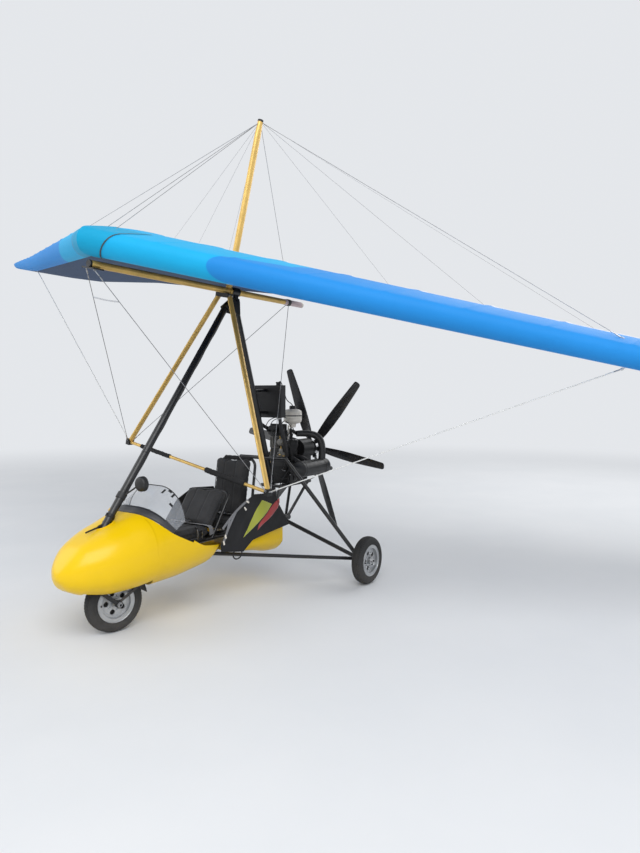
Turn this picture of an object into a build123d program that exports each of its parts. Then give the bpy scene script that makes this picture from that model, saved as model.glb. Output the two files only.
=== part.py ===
from build123d import *
import math
import os

# Two-seat flex-wing microlight: a three-wheeled trike hung under a rogallo-type wing.
# Millimetres, X forward, Y to port, Z up, floor at Z = 0.
# Trike stations are measured forward of the nose wheel's contact point, which lies at NOSE_X.
# Wing stations are measured from the roll pivot on the wing's keel tube.

# Wheels and stance
NOSE_X = 1460.0
WHEELBASE = 1970.0
TRACK = 1880.0
TYRE_DIA = 410.0
TYRE_WIDTH = 100.0
RIM_DIA = 246.0
RIM_WIDTH = 84.0
HUB_DIA = 64.0
HUB_HALF = 46.0
WHEEL_SPACER = 6.0
FLANGE = 6.0
FLANGE_RISE = 10.0
AXLE_DIA = 20.0
THREAD_DIA = 16.0
THREAD_LENGTH = 24.0
RUNNING_GAP = 0.3
AXLE_Z = TYRE_DIA / 2

# Trike frame
KEEL_Z = 470.0
KEEL_DIA = 60.0
KEEL_REAR = -110.0 - WHEELBASE
HEAD_X = 250.0
HEAD_BACK = 100.0
HEAD_FRONT = 34.0
HEAD_WIDTH = 74.0
HEAD_HEIGHT = 100.0
STRUT_DIA = 55.0
MAST_DIA = 58.0
MAST_FOOT_X = 41.0 - WHEELBASE
PIVOT_X = -1319.0
PIVOT_Z = 2440.0
HANG_RISE = 78.0
CHEEK_Y = 28.0
CHEEK_THICK = 8.0
CHEEK_OUTLINE = [(-36, -12), (-30, 18), (18, 24), (132, -58), (112, -98), (-40, -112)]
BOLT_DIA = 14.0
BOLT_OVERHANG = 10.0
MAST_HEAD_DROP = 34.0
STRUT_TOP = (-1222.0, 2389.0)
STRUT_FOOT_X = 198.0
BRACE_DIA = 36.0
RADIUS_ROD_DIA = 30.0
PARK_STEER = 12.0
STEER_LIMIT = 22.0
PARK_ROLL = 11.5

# Gear
CROSSBAR_Z = 1070.0
CROSSBAR_HALF = 270.0
CROSSBAR_DIA = 34.0
KNUCKLE_SIZE = 52.0
KNUCKLE_Y = TRACK / 2 - HUB_HALF - WHEEL_SPACER - KNUCKLE_SIZE / 2
ROD_LUG_X = -830.0
ROD_LUG_Z = 372.0

# Fork
FORK_HALF = 78.0
FORK_LEG_DIA = 28.0
STEM_DIA = 26.0
CROWN_HEIGHT = 30.0
PEG_HALF = 130.0
PEG_X = HEAD_X - 14.0
PEG_DIA = 24.0
GUARD_GAP = 24.0
GUARD_WIDTH = 92.0
GUARD_THICK = 4.0
GUARD_ANGLES = (128.0, 172.0)
GUARD_STAY = 20.0
STAY_Y = TYRE_WIDTH / 2 + 6.0
SWING_CLEARANCE = 12.0

# Pod, fairing and screen
POD_WALL = 6.0
POD_CORNER = 0.46
POD_END_X = -770.0
POD_LUG_X = (-560.0, -600.0)
SCREEN_WALL = 4.0
SCREEN_BACK_X = -430.0
CLOTH_Y = 347.0
CLOTH_THICK = 7.0

# Probe on the front strut
PITOT_Z = 748.0
PITOT_REACH = Vector(165, 0, -34)
PITOT_DIA = 12.0
PITOT_BOSS = 64.0

# Seats
RAIL_Y = 195.0
RAIL_DIA = 24.0
RAIL_FRONT = -430.0
RAIL_REAR = -1520.0
RAIL_CROSS = (-470.0, -960.0, -1470.0)
CLOTH_CROSS_BEHIND = -900.0
SEAT_PAD = 70.0

# Engine and propeller
PROP_X = MAST_FOOT_X - 551.0
PROP_Z = 1114.0
PROP_RADIUS = 840.0
PROP_BLADES = 6
PROP_FIRST_DEG = -70.0
PROP_HUB_DIA = 150.0
PROP_SHAFT_DIA = 34.0
MOUNT_Z = 800.0
MOUNT_Y = 100.0
MOUNT_RAIL_DIA = 32.0
MOUNT_BRACE_DIA = 28.0
MOUNT_REAR = MAST_FOOT_X - 371.0
MOUNT_CROSS_X = MAST_FOOT_X - 326.0
RADIATOR_Z = 1582.0
RADIATOR_BEHIND = 190.0
RADIATOR_HALF = 172.0
RADIATOR_HEIGHT = 238.0
RADIATOR_TANK = 28.0

# Wing
NOSE_ANGLE_HALF = 63.5
WING_NOSE_X = 1549.0
WING_KEEL_DIA = 50.0
WING_KEEL_REAR = -985.0
WING_KEEL_INSET = 108.0
SAIL_WALL = 4.0
SAIL_EDGE = 7.0
BAR_X = 199.0
BAR_Z = -1514.0
BAR_HALF = 843.0
BAR_DIA = 28.0
GRIP_DIA = 36.0
GRIP_SPANS = ((-690.0, -330.0), (130.0, 480.0))
APEX_X = 110.0
DOWNTUBE = (56.0, 30.0, 9.0)
KINGPOST_DIA = 44.0
KINGPOST_TOP = (-25.0, 1404.0)
REAR_TANG_X = -761.0
SIDE_TANG = (-131.0, 3125.0, -92.0)
WIRE_DIA = 4.0
HANG_LENGTH = 90.0
HANG_WALL = 13.0


# Helpers

def at(x, y, z):
    return Vector(NOSE_X + x, y, z)


def rod(a, b, diameter):
    a, b = Vector(a), Vector(b)
    return Solid.make_cylinder(diameter / 2, (b - a).length, Plane(origin=a, z_dir=b - a))


def block(low, high):
    low, high = Vector(low), Vector(high)
    size = high - low
    return Pos(*((low + high) * 0.5)) * Box(size.X, size.Y, size.Z)


def biggest(shape):
    return max(shape.solids(), key=lambda s: s.volume)


def trim(piece, *others):
    """Cope a tube or wire to the pieces that it meets."""
    for other in others:
        piece = piece - other
        piece = biggest(piece)
    return piece


def side_face(points, y):
    """Face in the plane Y = y from points (x, z)."""
    rim = Polyline(*[Vector(x, y, z) for x, z in points], close=True)
    return make_face(rim)


def side_plate(points, y_low, y_high):
    """Plate between two Y values from points (x, z)."""
    return extrude(side_face(points, y_low), amount=y_high - y_low, dir=(0, 1, 0))


def both_sides(piece):
    return [piece, mirror(piece, about=Plane.XZ)]


def write(name, *pieces):
    solids = []
    for piece in pieces:
        solids += piece.solids()
    shape = solids[0] if len(solids) == 1 else Compound(children=solids)
    shape.label = name
    export_step(shape, "parts/" + name + ".step")


# Wheels, built on the Y axis at the origin

def tyre():
    out, tread = TYRE_DIA / 2, TYRE_WIDTH / 2
    bead = RIM_DIA / 2
    seat_y = RIM_WIDTH / 2 - FLANGE
    lip = bead + FLANGE_RISE + 0.5
    profile = Polyline((bead, -seat_y), (lip, -seat_y), (lip + 4, -tread + 6), (bead + 40, -tread))
    side = ThreePointArc((bead + 40, -tread), (out - 10, -tread * 0.72), (out, -tread * 0.35))
    top = Line((out, -tread * 0.35), (out, tread * 0.35))
    other = ThreePointArc((out, tread * 0.35), (out - 10, tread * 0.72), (bead + 40, tread))
    back = Polyline((bead + 40, tread), (lip + 4, tread - 6), (lip, seat_y), (bead, seat_y))
    close = Line((bead, seat_y), (bead, -seat_y))
    face = make_face(profile + side + top + other + back + close)
    return revolve(Plane.XY * face, Axis.Y)


def rim(outer_face, hub_half):
    """Cast rim with a dished web, five windows and a hub; outer_face is the web's side, +1 or -1."""
    lip, well, half = RIM_DIA / 2, RIM_DIA / 2 - 16, RIM_WIDTH / 2
    bead, edge = half - FLANGE, lip + FLANGE_RISE
    points = [
        (well, -half), (edge, -half), (edge, -bead), (lip, -bead),
        (lip, bead), (edge, bead), (edge, half), (well, half),
    ]
    barrel = revolve(make_face(Polyline(*points, close=True)), Axis.Y)
    web_y = outer_face * 14.0
    web = Pos(0, web_y, 0) * Rot(90, 0, 0) * Cylinder(well + 4, 12)
    window = Pos(well * 0.62, web_y, 0) * Rot(90, 0, 0) * Cylinder(well * 0.17, 30)
    for i in range(5):
        web = web - Rot(0, 72 * i, 0) * window
    hub = Rot(90, 0, 0) * Cylinder(HUB_DIA / 2, 2 * hub_half)
    wheel = barrel + web + hub
    bore = Rot(90, 0, 0) * Cylinder(AXLE_DIA / 2 + RUNNING_GAP, 4 * hub_half)
    return wheel - bore


# Fork body, built straight ahead and then turned by the parked steering

HEAD_LOW = KEEL_Z - KEEL_DIA / 2 - 10.0


def turned(piece):
    axis = Axis((NOSE_X + HEAD_X, 0, 0), (0, 0, 1))
    return piece.rotate(axis, -PARK_STEER)


def fork():
    crown_top = HEAD_LOW - RUNNING_GAP
    crown_low = crown_top - CROWN_HEIGHT
    reach = FORK_HALF + FORK_LEG_DIA / 2
    crown = block(at(HEAD_X - 28, -reach, crown_low), at(HEAD_X + 28, reach, crown_top))
    stem_top = HEAD_LOW + HEAD_HEIGHT + 22
    stem = rod(at(HEAD_X, 0, crown_low), at(HEAD_X, 0, stem_top), STEM_DIA)
    nut_low = HEAD_LOW + HEAD_HEIGHT + RUNNING_GAP
    nut = rod(at(HEAD_X, 0, nut_low), at(HEAD_X, 0, stem_top - 6), STEM_DIA + 12)
    shape = crown + stem + nut
    leg = rod(at(HEAD_X - 4, FORK_HALF, crown_low + 14), at(0, FORK_HALF, AXLE_Z), FORK_LEG_DIA)
    eye = Pos(*at(0, FORK_HALF, AXLE_Z)) * Rot(90, 0, 0) * Cylinder(24, FORK_LEG_DIA)
    for piece in both_sides(leg) + both_sides(eye):
        shape = shape + piece
    pin = rod(at(0, -reach - 8, AXLE_Z), at(0, reach + 8, AXLE_Z), AXLE_DIA)
    peg_z = crown_low + PEG_DIA / 2
    pegs = rod(at(PEG_X, -PEG_HALF, peg_z), at(PEG_X, PEG_HALF, peg_z), PEG_DIA)
    return turned(shape + pin + pegs)


def mudguard():
    inner = TYRE_DIA / 2 + GUARD_GAP
    outer = inner + GUARD_THICK
    ring = Rot(90, 0, 0) * (Cylinder(outer, GUARD_WIDTH) - Cylinder(inner, GUARD_WIDTH + 2))
    turns = [math.radians(angle) for angle in GUARD_ANGLES]
    rays = [(2 * outer * math.cos(turn), 2 * outer * math.sin(turn)) for turn in turns]
    wedge = side_plate([(0, 0), *rays], -GUARD_WIDTH, GUARD_WIDTH)
    guard = ring & wedge
    middle = sum(GUARD_ANGLES) / 2
    reach, half = inner + 3, GUARD_STAY / 2
    bar = block((0, STAY_Y, -half), (reach, STAY_Y + GUARD_THICK, half))
    tab = block((inner + 1, GUARD_WIDTH / 2 - 4, -half), (reach, STAY_Y + 1, half))
    stay = Rot(0, -middle, 0) * (bar + tab)
    pin_hole = Rot(90, 0, 0) * Cylinder(AXLE_DIA / 2, 4 * GUARD_WIDTH)
    shape = guard
    for piece in both_sides(stay):
        shape = shape + (piece - pin_hole)
    return turned(Pos(*at(0, 0, AXLE_Z)) * shape)


# Trike frame

def keel_tube():
    """Main tube under the seats, with the steering head block at its front end."""
    tube = rod(at(KEEL_REAR, 0, KEEL_Z), at(HEAD_X, 0, KEEL_Z), KEEL_DIA)
    half, top = HEAD_WIDTH / 2, HEAD_LOW + HEAD_HEIGHT
    head = block(at(HEAD_X - HEAD_BACK, -half, HEAD_LOW), at(HEAD_X + HEAD_FRONT, half, top))
    shape = tube + head
    lug_top = KEEL_Z - KEEL_DIA / 4
    rod_lug = block(at(ROD_LUG_X - 30, -22, ROD_LUG_Z - 14), at(ROD_LUG_X + 30, 22, lug_top))
    front, rear = POD_LUG_X
    lug_line = [(front, pod_floor(front) + POD_WALL), (front, lug_top)]
    lug_line += [(rear, lug_top), (rear, pod_floor(rear) + POD_WALL)]
    pod_lug = side_plate([(NOSE_X + x, z) for x, z in lug_line], -18, 18)
    shape = shape + rod_lug + pod_lug
    bore = rod(at(HEAD_X, 0, HEAD_LOW - 5), at(HEAD_X, 0, top + 5), STEM_DIA + 2 * RUNNING_GAP)
    return shape - bore


def strut_foot():
    return at(STRUT_FOOT_X, 0, HEAD_LOW + HEAD_HEIGHT - 20)


def strut_along():
    return (at(STRUT_TOP[0], 0, STRUT_TOP[1]) - strut_foot()).normalized()


def front_strut():
    return rod(strut_foot(), at(STRUT_TOP[0], 0, STRUT_TOP[1]), STRUT_DIA)


def mast_axis_x(z):
    share = (z - KEEL_Z) / (PIVOT_Z - KEEL_Z)
    return MAST_FOOT_X + (PIVOT_X - MAST_FOOT_X) * share


def mast():
    """Mast with the two cheek plates and the bolt that carry the wing."""
    direction = (at(PIVOT_X, 0, PIVOT_Z) - at(MAST_FOOT_X, 0, KEEL_Z)).normalized()
    top = at(PIVOT_X, 0, PIVOT_Z) - direction * MAST_HEAD_DROP
    tube = rod(at(MAST_FOOT_X, 0, KEEL_Z), top, MAST_DIA)
    outline = [(NOSE_X + PIVOT_X + x, PIVOT_Z + z) for x, z in CHEEK_OUTLINE]
    reach = CHEEK_Y + CHEEK_THICK + BOLT_OVERHANG
    shape = tube + rod(at(PIVOT_X, -reach, PIVOT_Z), at(PIVOT_X, reach, PIVOT_Z), BOLT_DIA)
    for cheek in both_sides(side_plate(outline, CHEEK_Y, CHEEK_Y + CHEEK_THICK)):
        shape = shape + cheek
    return shape


# Landing gear

def knuckle_centre():
    return at(-WHEELBASE, KNUCKLE_Y, AXLE_Z)


def knuckle():
    """Block at the end of each axle beam, with its stub axle and the thread for the wheel nut."""
    half = KNUCKLE_SIZE / 2
    centre = knuckle_centre()
    body = block(centre - Vector(half, half, half), centre + Vector(half, half, half))
    shoulder = at(-WHEELBASE, TRACK / 2 + HUB_HALF + 1, AXLE_Z)
    thread = rod(shoulder, shoulder + Vector(0, THREAD_LENGTH, 0), THREAD_DIA)
    return body + rod(centre, shoulder, AXLE_DIA) + thread


def lift_struts():
    x = mast_axis_x(CROSSBAR_Z) + MAST_DIA / 2 + CROSSBAR_DIA / 2 - 2
    bar = rod(at(x, -CROSSBAR_HALF, CROSSBAR_Z), at(x, CROSSBAR_HALF, CROSSBAR_Z), CROSSBAR_DIA)
    leg = rod(at(x, CROSSBAR_HALF - 14, CROSSBAR_Z), knuckle_centre(), BRACE_DIA)
    leg = trim(leg, knuckle(), axle_beam(), radius_rod())
    shape = bar
    for piece in both_sides(leg):
        shape = shape + piece
    return trim(shape, mast())


def axle_beam():
    return rod(at(-WHEELBASE, 0, KEEL_Z), knuckle_centre(), BRACE_DIA)


def radius_rod():
    return rod(at(ROD_LUG_X, 16, ROD_LUG_Z), knuckle_centre(), RADIUS_ROD_DIA)


def axle_struts():
    """Lateral beams and forward radius rods, port and starboard."""
    keel = keel_tube()
    beam = trim(axle_beam(), knuckle(), keel)
    radius = trim(radius_rod(), knuckle(), beam, keel)
    return both_sides(beam) + both_sides(radius)


# Pod: sections are (station, half width, floor, crown)

POD_SECTIONS = [
    (408.0, 45.0, 428.0, 492.0),
    (364.0, 118.0, 366.0, 560.0),
    (266.0, 200.0, 320.0, 652.0),
    (130.0, 265.0, 292.0, 700.0),
    (-150.0, 322.0, 276.0, 800.0),
    (-450.0, 336.0, 282.0, 830.0),
    (-800.0, 330.0, 330.0, 830.0),
]
POD_RIM = [(-156.0, 802.0), (-310.0, 657.0), (-425.0, 593.0), (-556.0, 531.0), (POD_END_X, 489.0)]


def pod_floor(station):
    for ahead, behind in zip(POD_SECTIONS, POD_SECTIONS[1:]):
        if ahead[0] >= station >= behind[0]:
            share = (ahead[0] - station) / (ahead[0] - behind[0])
            return ahead[2] + share * (behind[2] - ahead[2])
    raise ValueError("station is outside the pod")


def rounded_section(x, half, low, high, inset=0.0, corner_share=POD_CORNER):
    width = 2 * (half - inset)
    height = high - low - 2 * inset
    radius = corner_share * min(width, height)
    face = RectangleRounded(width, height, radius)
    return Plane(origin=(NOSE_X + x, 0, (low + high) / 2), x_dir=(0, 1, 0), z_dir=(1, 0, 0)) * face


def front_pod():
    outer = loft([rounded_section(*s) for s in POD_SECTIONS], ruled=True)
    tip = POD_SECTIONS[0]
    inner_sections = [(tip[0] - POD_WALL, *tip[1:])] + POD_SECTIONS[1:]
    inner = loft([rounded_section(*s, inset=POD_WALL) for s in inner_sections], ruled=True)
    shell = outer - inner
    rim_line = [(NOSE_X + x, z) for x, z in POD_RIM]
    opening = rim_line + [(NOSE_X + POD_END_X + 30, 380), (NOSE_X + POD_END_X + 130, 250), (NOSE_X - 1000, 250)]
    opening += [(NOSE_X - 1000, 1100), (NOSE_X + POD_RIM[0][0], 1100)]
    shell = shell - side_plate(opening, -600, 600)
    return biggest(shell - wheel_opening() - strut_slot())


def wheel_opening():
    """Hole in the belly that the nose wheel and its guard swing in, from the steering axis back."""
    guard_reach = HEAD_X + TYRE_DIA / 2 + GUARD_GAP + GUARD_THICK
    radius = guard_reach + SWING_CLEARANCE
    half_guard = STAY_Y + GUARD_THICK + SWING_CLEARANCE
    turn = math.radians(STEER_LIMIT) + math.asin(half_guard / guard_reach)
    head = NOSE_X + HEAD_X
    port, starboard = [Vector(head - radius * math.cos(turn), s * radius * math.sin(turn)) for s in (1, -1)]
    front_half = FORK_HALF + HEAD_FRONT
    front = head + HEAD_FRONT + 2
    sides = Polyline(port, (front, front_half), (front, -front_half), starboard)
    back = ThreePointArc(starboard, (head - radius, 0), port)
    return extrude(make_face(sides + back), amount=KEEL_Z, dir=(0, 0, 1))


def strut_slot():
    return rod(strut_foot(), strut_foot() + strut_along() * 480, STRUT_DIA + 16)


def arch_face(x, half, flat, low, high):
    """Filled arch in the plane X = x: a flat crown with an arc down to each foot."""
    drop = high - low
    run = half - flat
    radius = (run * run + drop * drop) / (2 * drop)
    bend = 0.5 * math.asin(min(1.0, run / radius))
    knee = (flat + radius * math.sin(bend), high - radius * (1 - math.cos(bend)))

    def spot(y, z):
        return Vector(NOSE_X + x, y, z)

    crown = Line(spot(-flat, high), spot(flat, high))
    port = ThreePointArc(spot(flat, high), spot(*knee), spot(half, low))
    base = Line(spot(half, low), spot(-half, low))
    starboard = ThreePointArc(spot(-half, low), spot(-knee[0], knee[1]), spot(-flat, high))
    return make_face(crown + port + base + starboard)


def windscreen():
    """Small raked screen that stands on the front of the pod's rim."""
    outer = arch_face(SCREEN_BACK_X, 312, 50, 728, 965)
    inner = arch_face(SCREEN_BACK_X, 312 - SCREEN_WALL, 50, 700, 965 - SCREEN_WALL)
    rake = Vector(270, 0, -165)
    sheet = extrude(outer, amount=420, dir=rake.normalized()) - extrude(inner, amount=440, dir=rake.normalized())
    rim_line = [(NOSE_X + x, z + RUNNING_GAP) for x, z in POD_RIM[:3]]
    keep = rim_line + [(NOSE_X + SCREEN_BACK_X, 660), (NOSE_X + SCREEN_BACK_X, 1000), (NOSE_X + POD_RIM[0][0], 1000)]
    return biggest(sheet & side_plate(keep, -400, 400))


def instrument_panel():
    """Binnacle behind the screen, on an arm from the front strut."""
    outline = [(-205, 676), (-205, 782), (-235, 818), (-262, 822), (-292, 686)]
    panel = side_plate([(NOSE_X + x, z) for x, z in outline], -130, 130)
    arm = block(at(-210, -16, 682), at(62, 16, 704))
    return trim(panel + arm, front_strut())


FAIRING_SECTIONS = [
    (-1010.0, 318.0, 374.0, 860.0), (-1250.0, 322.0, 338.0, 840.0), (-1450.0, 310.0, 292.0, 820.0),
    (-1700.0, 286.0, 272.0, 800.0),
]
FAIRING_TOP = KEEL_Z + KEEL_DIA / 2 - 0.5
FAIRING_CORNER = 0.2


def fairing_section(section, inset):
    return rounded_section(*section, inset=inset, corner_share=FAIRING_CORNER)


def rear_fairing():
    outer = loft([fairing_section(s, 0) for s in FAIRING_SECTIONS], ruled=True)
    inner = loft([fairing_section(s, POD_WALL) for s in FAIRING_SECTIONS], ruled=True)
    shell = outer - inner
    rear_edge = [(-1566, 200), (-1566, 296), (-1690, FAIRING_TOP)]
    away = [(NOSE_X + x, z) for x, z in rear_edge]
    away += [(NOSE_X - 900, FAIRING_TOP), (NOSE_X - 900, 900), (NOSE_X - 1800, 900), (NOSE_X - 1800, 200)]
    return biggest(shell - side_plate(away, -600, 600))


def fuel_tank():
    """Saddle tank over the keel, in the fairing."""
    tank = block(at(-1560, -190, FAIRING_SECTIONS[1][2] + POD_WALL + 8), at(-1230, 190, FAIRING_TOP - 2))
    tank = fillet(tank.edges(), 22)
    return trim(tank, keel_tube(), rear_fairing())


CLOTH_OUTLINE = [
    (-760, 495), (-764, 440), (-1016, 394), (-1130, 465), (-1350, 490), (-1620, 514), (-1611, 534), (-1484, 700),
    (-1415, 820), (-1153, 840), (-969, 749),
]


def side_cloths():
    outline = [(NOSE_X + x, z) for x, z in CLOTH_OUTLINE]
    return both_sides(side_plate(outline, CLOTH_Y, CLOTH_Y + CLOTH_THICK))


# Seats: both ride on one ladder frame over the keel

RAIL_Z = KEEL_Z + KEEL_DIA / 2 + RAIL_DIA / 2


# Seats: (front of base, rear of base, back's top station, back's top height, half width)
FRONT_SEAT = (-440.0, -760.0, -1030.0, 872.0, 205.0)
REAR_SEAT = (-1000.0, -1200.0, -1350.0, 1110.0, 190.0)


def hoop(base_front, base_rear, back_top_x, back_top_z, half):
    """Bent tube from one rail up behind a seat's back and down to the other rail."""
    low = Vector(base_rear - SEAT_PAD, 0, RAIL_Z + RAIL_DIA / 2 + 24)
    high = Vector(back_top_x, 0, back_top_z - 14)
    lean = (high - low).normalized()
    away = Vector(-lean.Z, 0, lean.X) * (RAIL_DIA / 2 + 0.5)
    behind = low + away
    foot_x = (behind - lean * ((behind.Z - RAIL_Z) / lean.Z)).X
    top_x, top_z = (high + away).X, (high + away).Z
    path = FilletPolyline(
        at(foot_x, -RAIL_Y, RAIL_Z), at(top_x, -RAIL_Y, top_z), at(top_x, RAIL_Y, top_z), at(foot_x, RAIL_Y, RAIL_Z),
        radius=70,
    )
    start = Plane(origin=path @ 0, z_dir=path % 0)
    return sweep(start * Circle(RAIL_DIA / 2), path=path)


def seat_frame():
    """Two rails with cross tubes, the rear two of them out to the side cloths, and a hoop for each seat."""
    shape = rod(at(RAIL_FRONT, RAIL_Y, RAIL_Z), at(RAIL_REAR, RAIL_Y, RAIL_Z), RAIL_DIA)
    shape = shape + rod(at(RAIL_FRONT, -RAIL_Y, RAIL_Z), at(RAIL_REAR, -RAIL_Y, RAIL_Z), RAIL_DIA)
    for x in RAIL_CROSS:
        reach = CLOTH_Y if x < CLOTH_CROSS_BEHIND else RAIL_Y + 20
        shape = shape + rod(at(x, -reach, RAIL_Z), at(x, reach, RAIL_Z), RAIL_DIA)
    shape = shape + hoop(*FRONT_SEAT)
    shape = shape + hoop(*REAR_SEAT)
    return shape


def seat(base_front, base_rear, back_top_x, back_top_z, half):
    """Padded base and back in one upholstered piece."""
    low = RAIL_Z + RAIL_DIA / 2 + 0.3
    pad = SEAT_PAD
    outline = [
        (base_front, low), (base_front, low + pad), (base_rear, low + pad + 10),
        (back_top_x + pad, back_top_z), (back_top_x, back_top_z - 14),
        (base_rear - pad, low + 24), (base_rear - pad + 26, low),
    ]
    shape = side_plate([(NOSE_X + x, z) for x, z in outline], -half, half)
    return fillet(shape.edges().filter_by(Axis.Y), 9)


# Engine: stations run back from the mast's foot

SEAT_GAP = 0.3
ENGINE_FRONT = MAST_FOOT_X + 24.0
ENGINE_REAR = ENGINE_FRONT - 310.0
ENGINE_HALF = 130.0
ENGINE_FLOOR = MOUNT_Z + MOUNT_RAIL_DIA / 2 + SEAT_GAP
CASE_HEIGHT = 180.0
CYLINDERS = (ENGINE_FRONT - 80.0, ENGINE_FRONT - 220.0)
CYLINDER_DIA = 124.0
CYLINDER_HEAD_DIA = 138.0
HEAD_RISE = (322.0, 392.0)
PLUG_TOP = 446.0
PLUG_DIA = 26.0
PORT_RISE = 235.0


def engine_mount():
    """Two rails under the crankcase, tied to the mast and braced down to the keel."""
    rail_front = mast_axis_x(MOUNT_Z) + 10
    shape = None
    for y in (-MOUNT_Y, MOUNT_Y):
        rail = rod(at(rail_front, y, MOUNT_Z), at(MOUNT_REAR, y, MOUNT_Z), MOUNT_RAIL_DIA)
        brace_top = at(MOUNT_CROSS_X, y, MOUNT_Z - MOUNT_RAIL_DIA / 4)
        brace = rod(brace_top, at(KEEL_REAR + 30, y * 0.1, KEEL_Z), MOUNT_BRACE_DIA)
        shape = rail + brace if shape is None else shape + rail + brace
    reach = MOUNT_Y + MOUNT_RAIL_DIA / 2
    for x in (rail_front, MOUNT_CROSS_X):
        shape = shape + rod(at(x, -reach, MOUNT_Z), at(x, reach, MOUNT_Z), MOUNT_RAIL_DIA - 2)
    return trim(shape, mast(), keel_tube())


def engine_block():
    """Crankcase with two finless water-cooled cylinders and their heads in line."""
    top = ENGINE_FLOOR + CASE_HEIGHT
    case = block(at(ENGINE_REAR, -ENGINE_HALF, ENGINE_FLOOR), at(ENGINE_FRONT, ENGINE_HALF, top))
    shape = fillet(case.edges().filter_by(Axis.X), 24)
    head_low, head_top = [ENGINE_FLOOR + rise for rise in HEAD_RISE]
    for x in CYLINDERS:
        shape = shape + rod(at(x, 0, top - 10), at(x, 0, head_low + 8), CYLINDER_DIA)
        shape = shape + rod(at(x, 0, head_low), at(x, 0, head_top), CYLINDER_HEAD_DIA)
        shape = shape + rod(at(x, 0, head_top - 12), at(x, 0, ENGINE_FLOOR + PLUG_TOP), PLUG_DIA)
    bridge = block(at(CYLINDERS[1] - 15, -38, head_low + 8), at(CYLINDERS[0] + 15, 38, head_top + 8))
    return shape + bridge


GEARBOX_DIA = 190.0
CRANK_DIA = 170.0
CRANK_RISE = 95.0
GEARBOX_REAR = PROP_X + 60.0


def gearbox():
    """Reduction gearbox: the crank's housing low down, the propeller shaft's above, and a web between."""
    deep = GEARBOX_REAR + 60
    crank_z = ENGINE_FLOOR + CRANK_RISE
    upper = rod(at(ENGINE_REAR - SEAT_GAP, 0, PROP_Z), at(GEARBOX_REAR + 30, 0, PROP_Z), GEARBOX_DIA)
    lower = rod(at(ENGINE_REAR - SEAT_GAP, 0, crank_z), at(deep, 0, crank_z), CRANK_DIA)
    web = block(at(deep, -CRANK_DIA * 0.42, crank_z), at(ENGINE_REAR - SEAT_GAP, CRANK_DIA * 0.42, PROP_Z))
    flange = rod(at(GEARBOX_REAR + 32, 0, PROP_Z), at(PROP_X + 32, 0, PROP_Z), 104)
    shaft = rod(at(GEARBOX_REAR, 0, PROP_Z), at(PROP_X - 46, 0, PROP_Z), PROP_SHAFT_DIA)
    return upper + lower + web + flange + shaft


CARB_DIA = 50.0
FILTER_DIA = 92.0


def carburettors():
    """Two carburettors to starboard, each with its float bowl, throat and round filter."""
    pieces = []
    z = ENGINE_FLOOR + PORT_RISE - 3
    for x in CYLINDERS:
        throat = rod(at(x, -60, z), at(x, -150, z), CARB_DIA)
        barrel = rod(at(x, -118, z - 60), at(x, -118, z + 62), CARB_DIA - 6)
        filter_pod = rod(at(x, -150, z), at(x, -238, z), FILTER_DIA)
        pieces.append(trim(throat + barrel + filter_pod, engine_block()))
    return pieces


MUFFLER_Y = 262.0
MUFFLER_Z = 958.0
MUFFLER_DIA = 150.0
MUFFLER_FRONT = MAST_FOOT_X + 109.0
MUFFLER_REAR = MAST_FOOT_X - 401.0
ELBOW_X = MAST_FOOT_X - 341.0
ELBOW_Z = 1270.0
ELBOW_DIA = 56.0
ELBOW_END = (CYLINDERS[1], 62.0, ELBOW_Z)


def exhaust():
    """Fat muffler on the port side with its elbow and its feeds from the cylinders."""
    full = MUFFLER_DIA / 2
    can = make_face(Polyline(
        (MUFFLER_REAR, 0), (MUFFLER_REAR, full - 15), (MUFFLER_REAR + 18, full), (MUFFLER_FRONT - 70, full),
        (MUFFLER_FRONT, full / 2), (MUFFLER_FRONT, 0), close=True,
    ))
    muffler = Pos(*at(0, MUFFLER_Y, MUFFLER_Z)) * revolve(can, Axis.X)
    elbow_path = FilletPolyline(
        at(ELBOW_X, MUFFLER_Y, MUFFLER_Z + 30), at(ELBOW_X, MUFFLER_Y, ELBOW_Z), at(*ELBOW_END), radius=60,
    )
    elbow = sweep(Plane(origin=elbow_path @ 0, z_dir=elbow_path % 0) * Circle(ELBOW_DIA / 2), path=elbow_path)
    shape = muffler
    for x in CYLINDERS:
        start = at(x, 50, ENGINE_FLOOR + PORT_RISE)
        shape = shape + rod(start, at(x - 20, MUFFLER_Y - 10, MUFFLER_Z + 34), ELBOW_DIA - 10)
    return trim(shape + elbow, engine_block())


def radiator():
    """Upright water radiator behind the mast on two arms."""
    x = mast_axis_x(RADIATOR_Z) - RADIATOR_BEHIND
    low, high = RADIATOR_Z - RADIATOR_HEIGHT / 2, RADIATOR_Z + RADIATOR_HEIGHT / 2
    shape = block(at(x - 30, -RADIATOR_HALF, low), at(x + 26, RADIATOR_HALF, high))
    for bottom, top in ((low - RADIATOR_TANK, low), (high, high + RADIATOR_TANK)):
        shape = shape + block(at(x - 38, -RADIATOR_HALF, bottom), at(x + 34, RADIATOR_HALF, top))
    cap_low = high + RADIATOR_TANK
    shape = shape + rod(at(x, 120, cap_low), at(x, 120, cap_low + 24), 40)
    for z in (low + 18, high - 20):
        shape = shape + rod(at(mast_axis_x(z), 0, z), at(x, 0, z), 26)
    return trim(shape, mast())


BOTTLE_X = MAST_FOOT_X - 171.0
BOTTLE_Y = 40.0
BOTTLE_DIA = 150.0
BOTTLE_RISE = (68.0, 240.0, 276.0)


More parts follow.
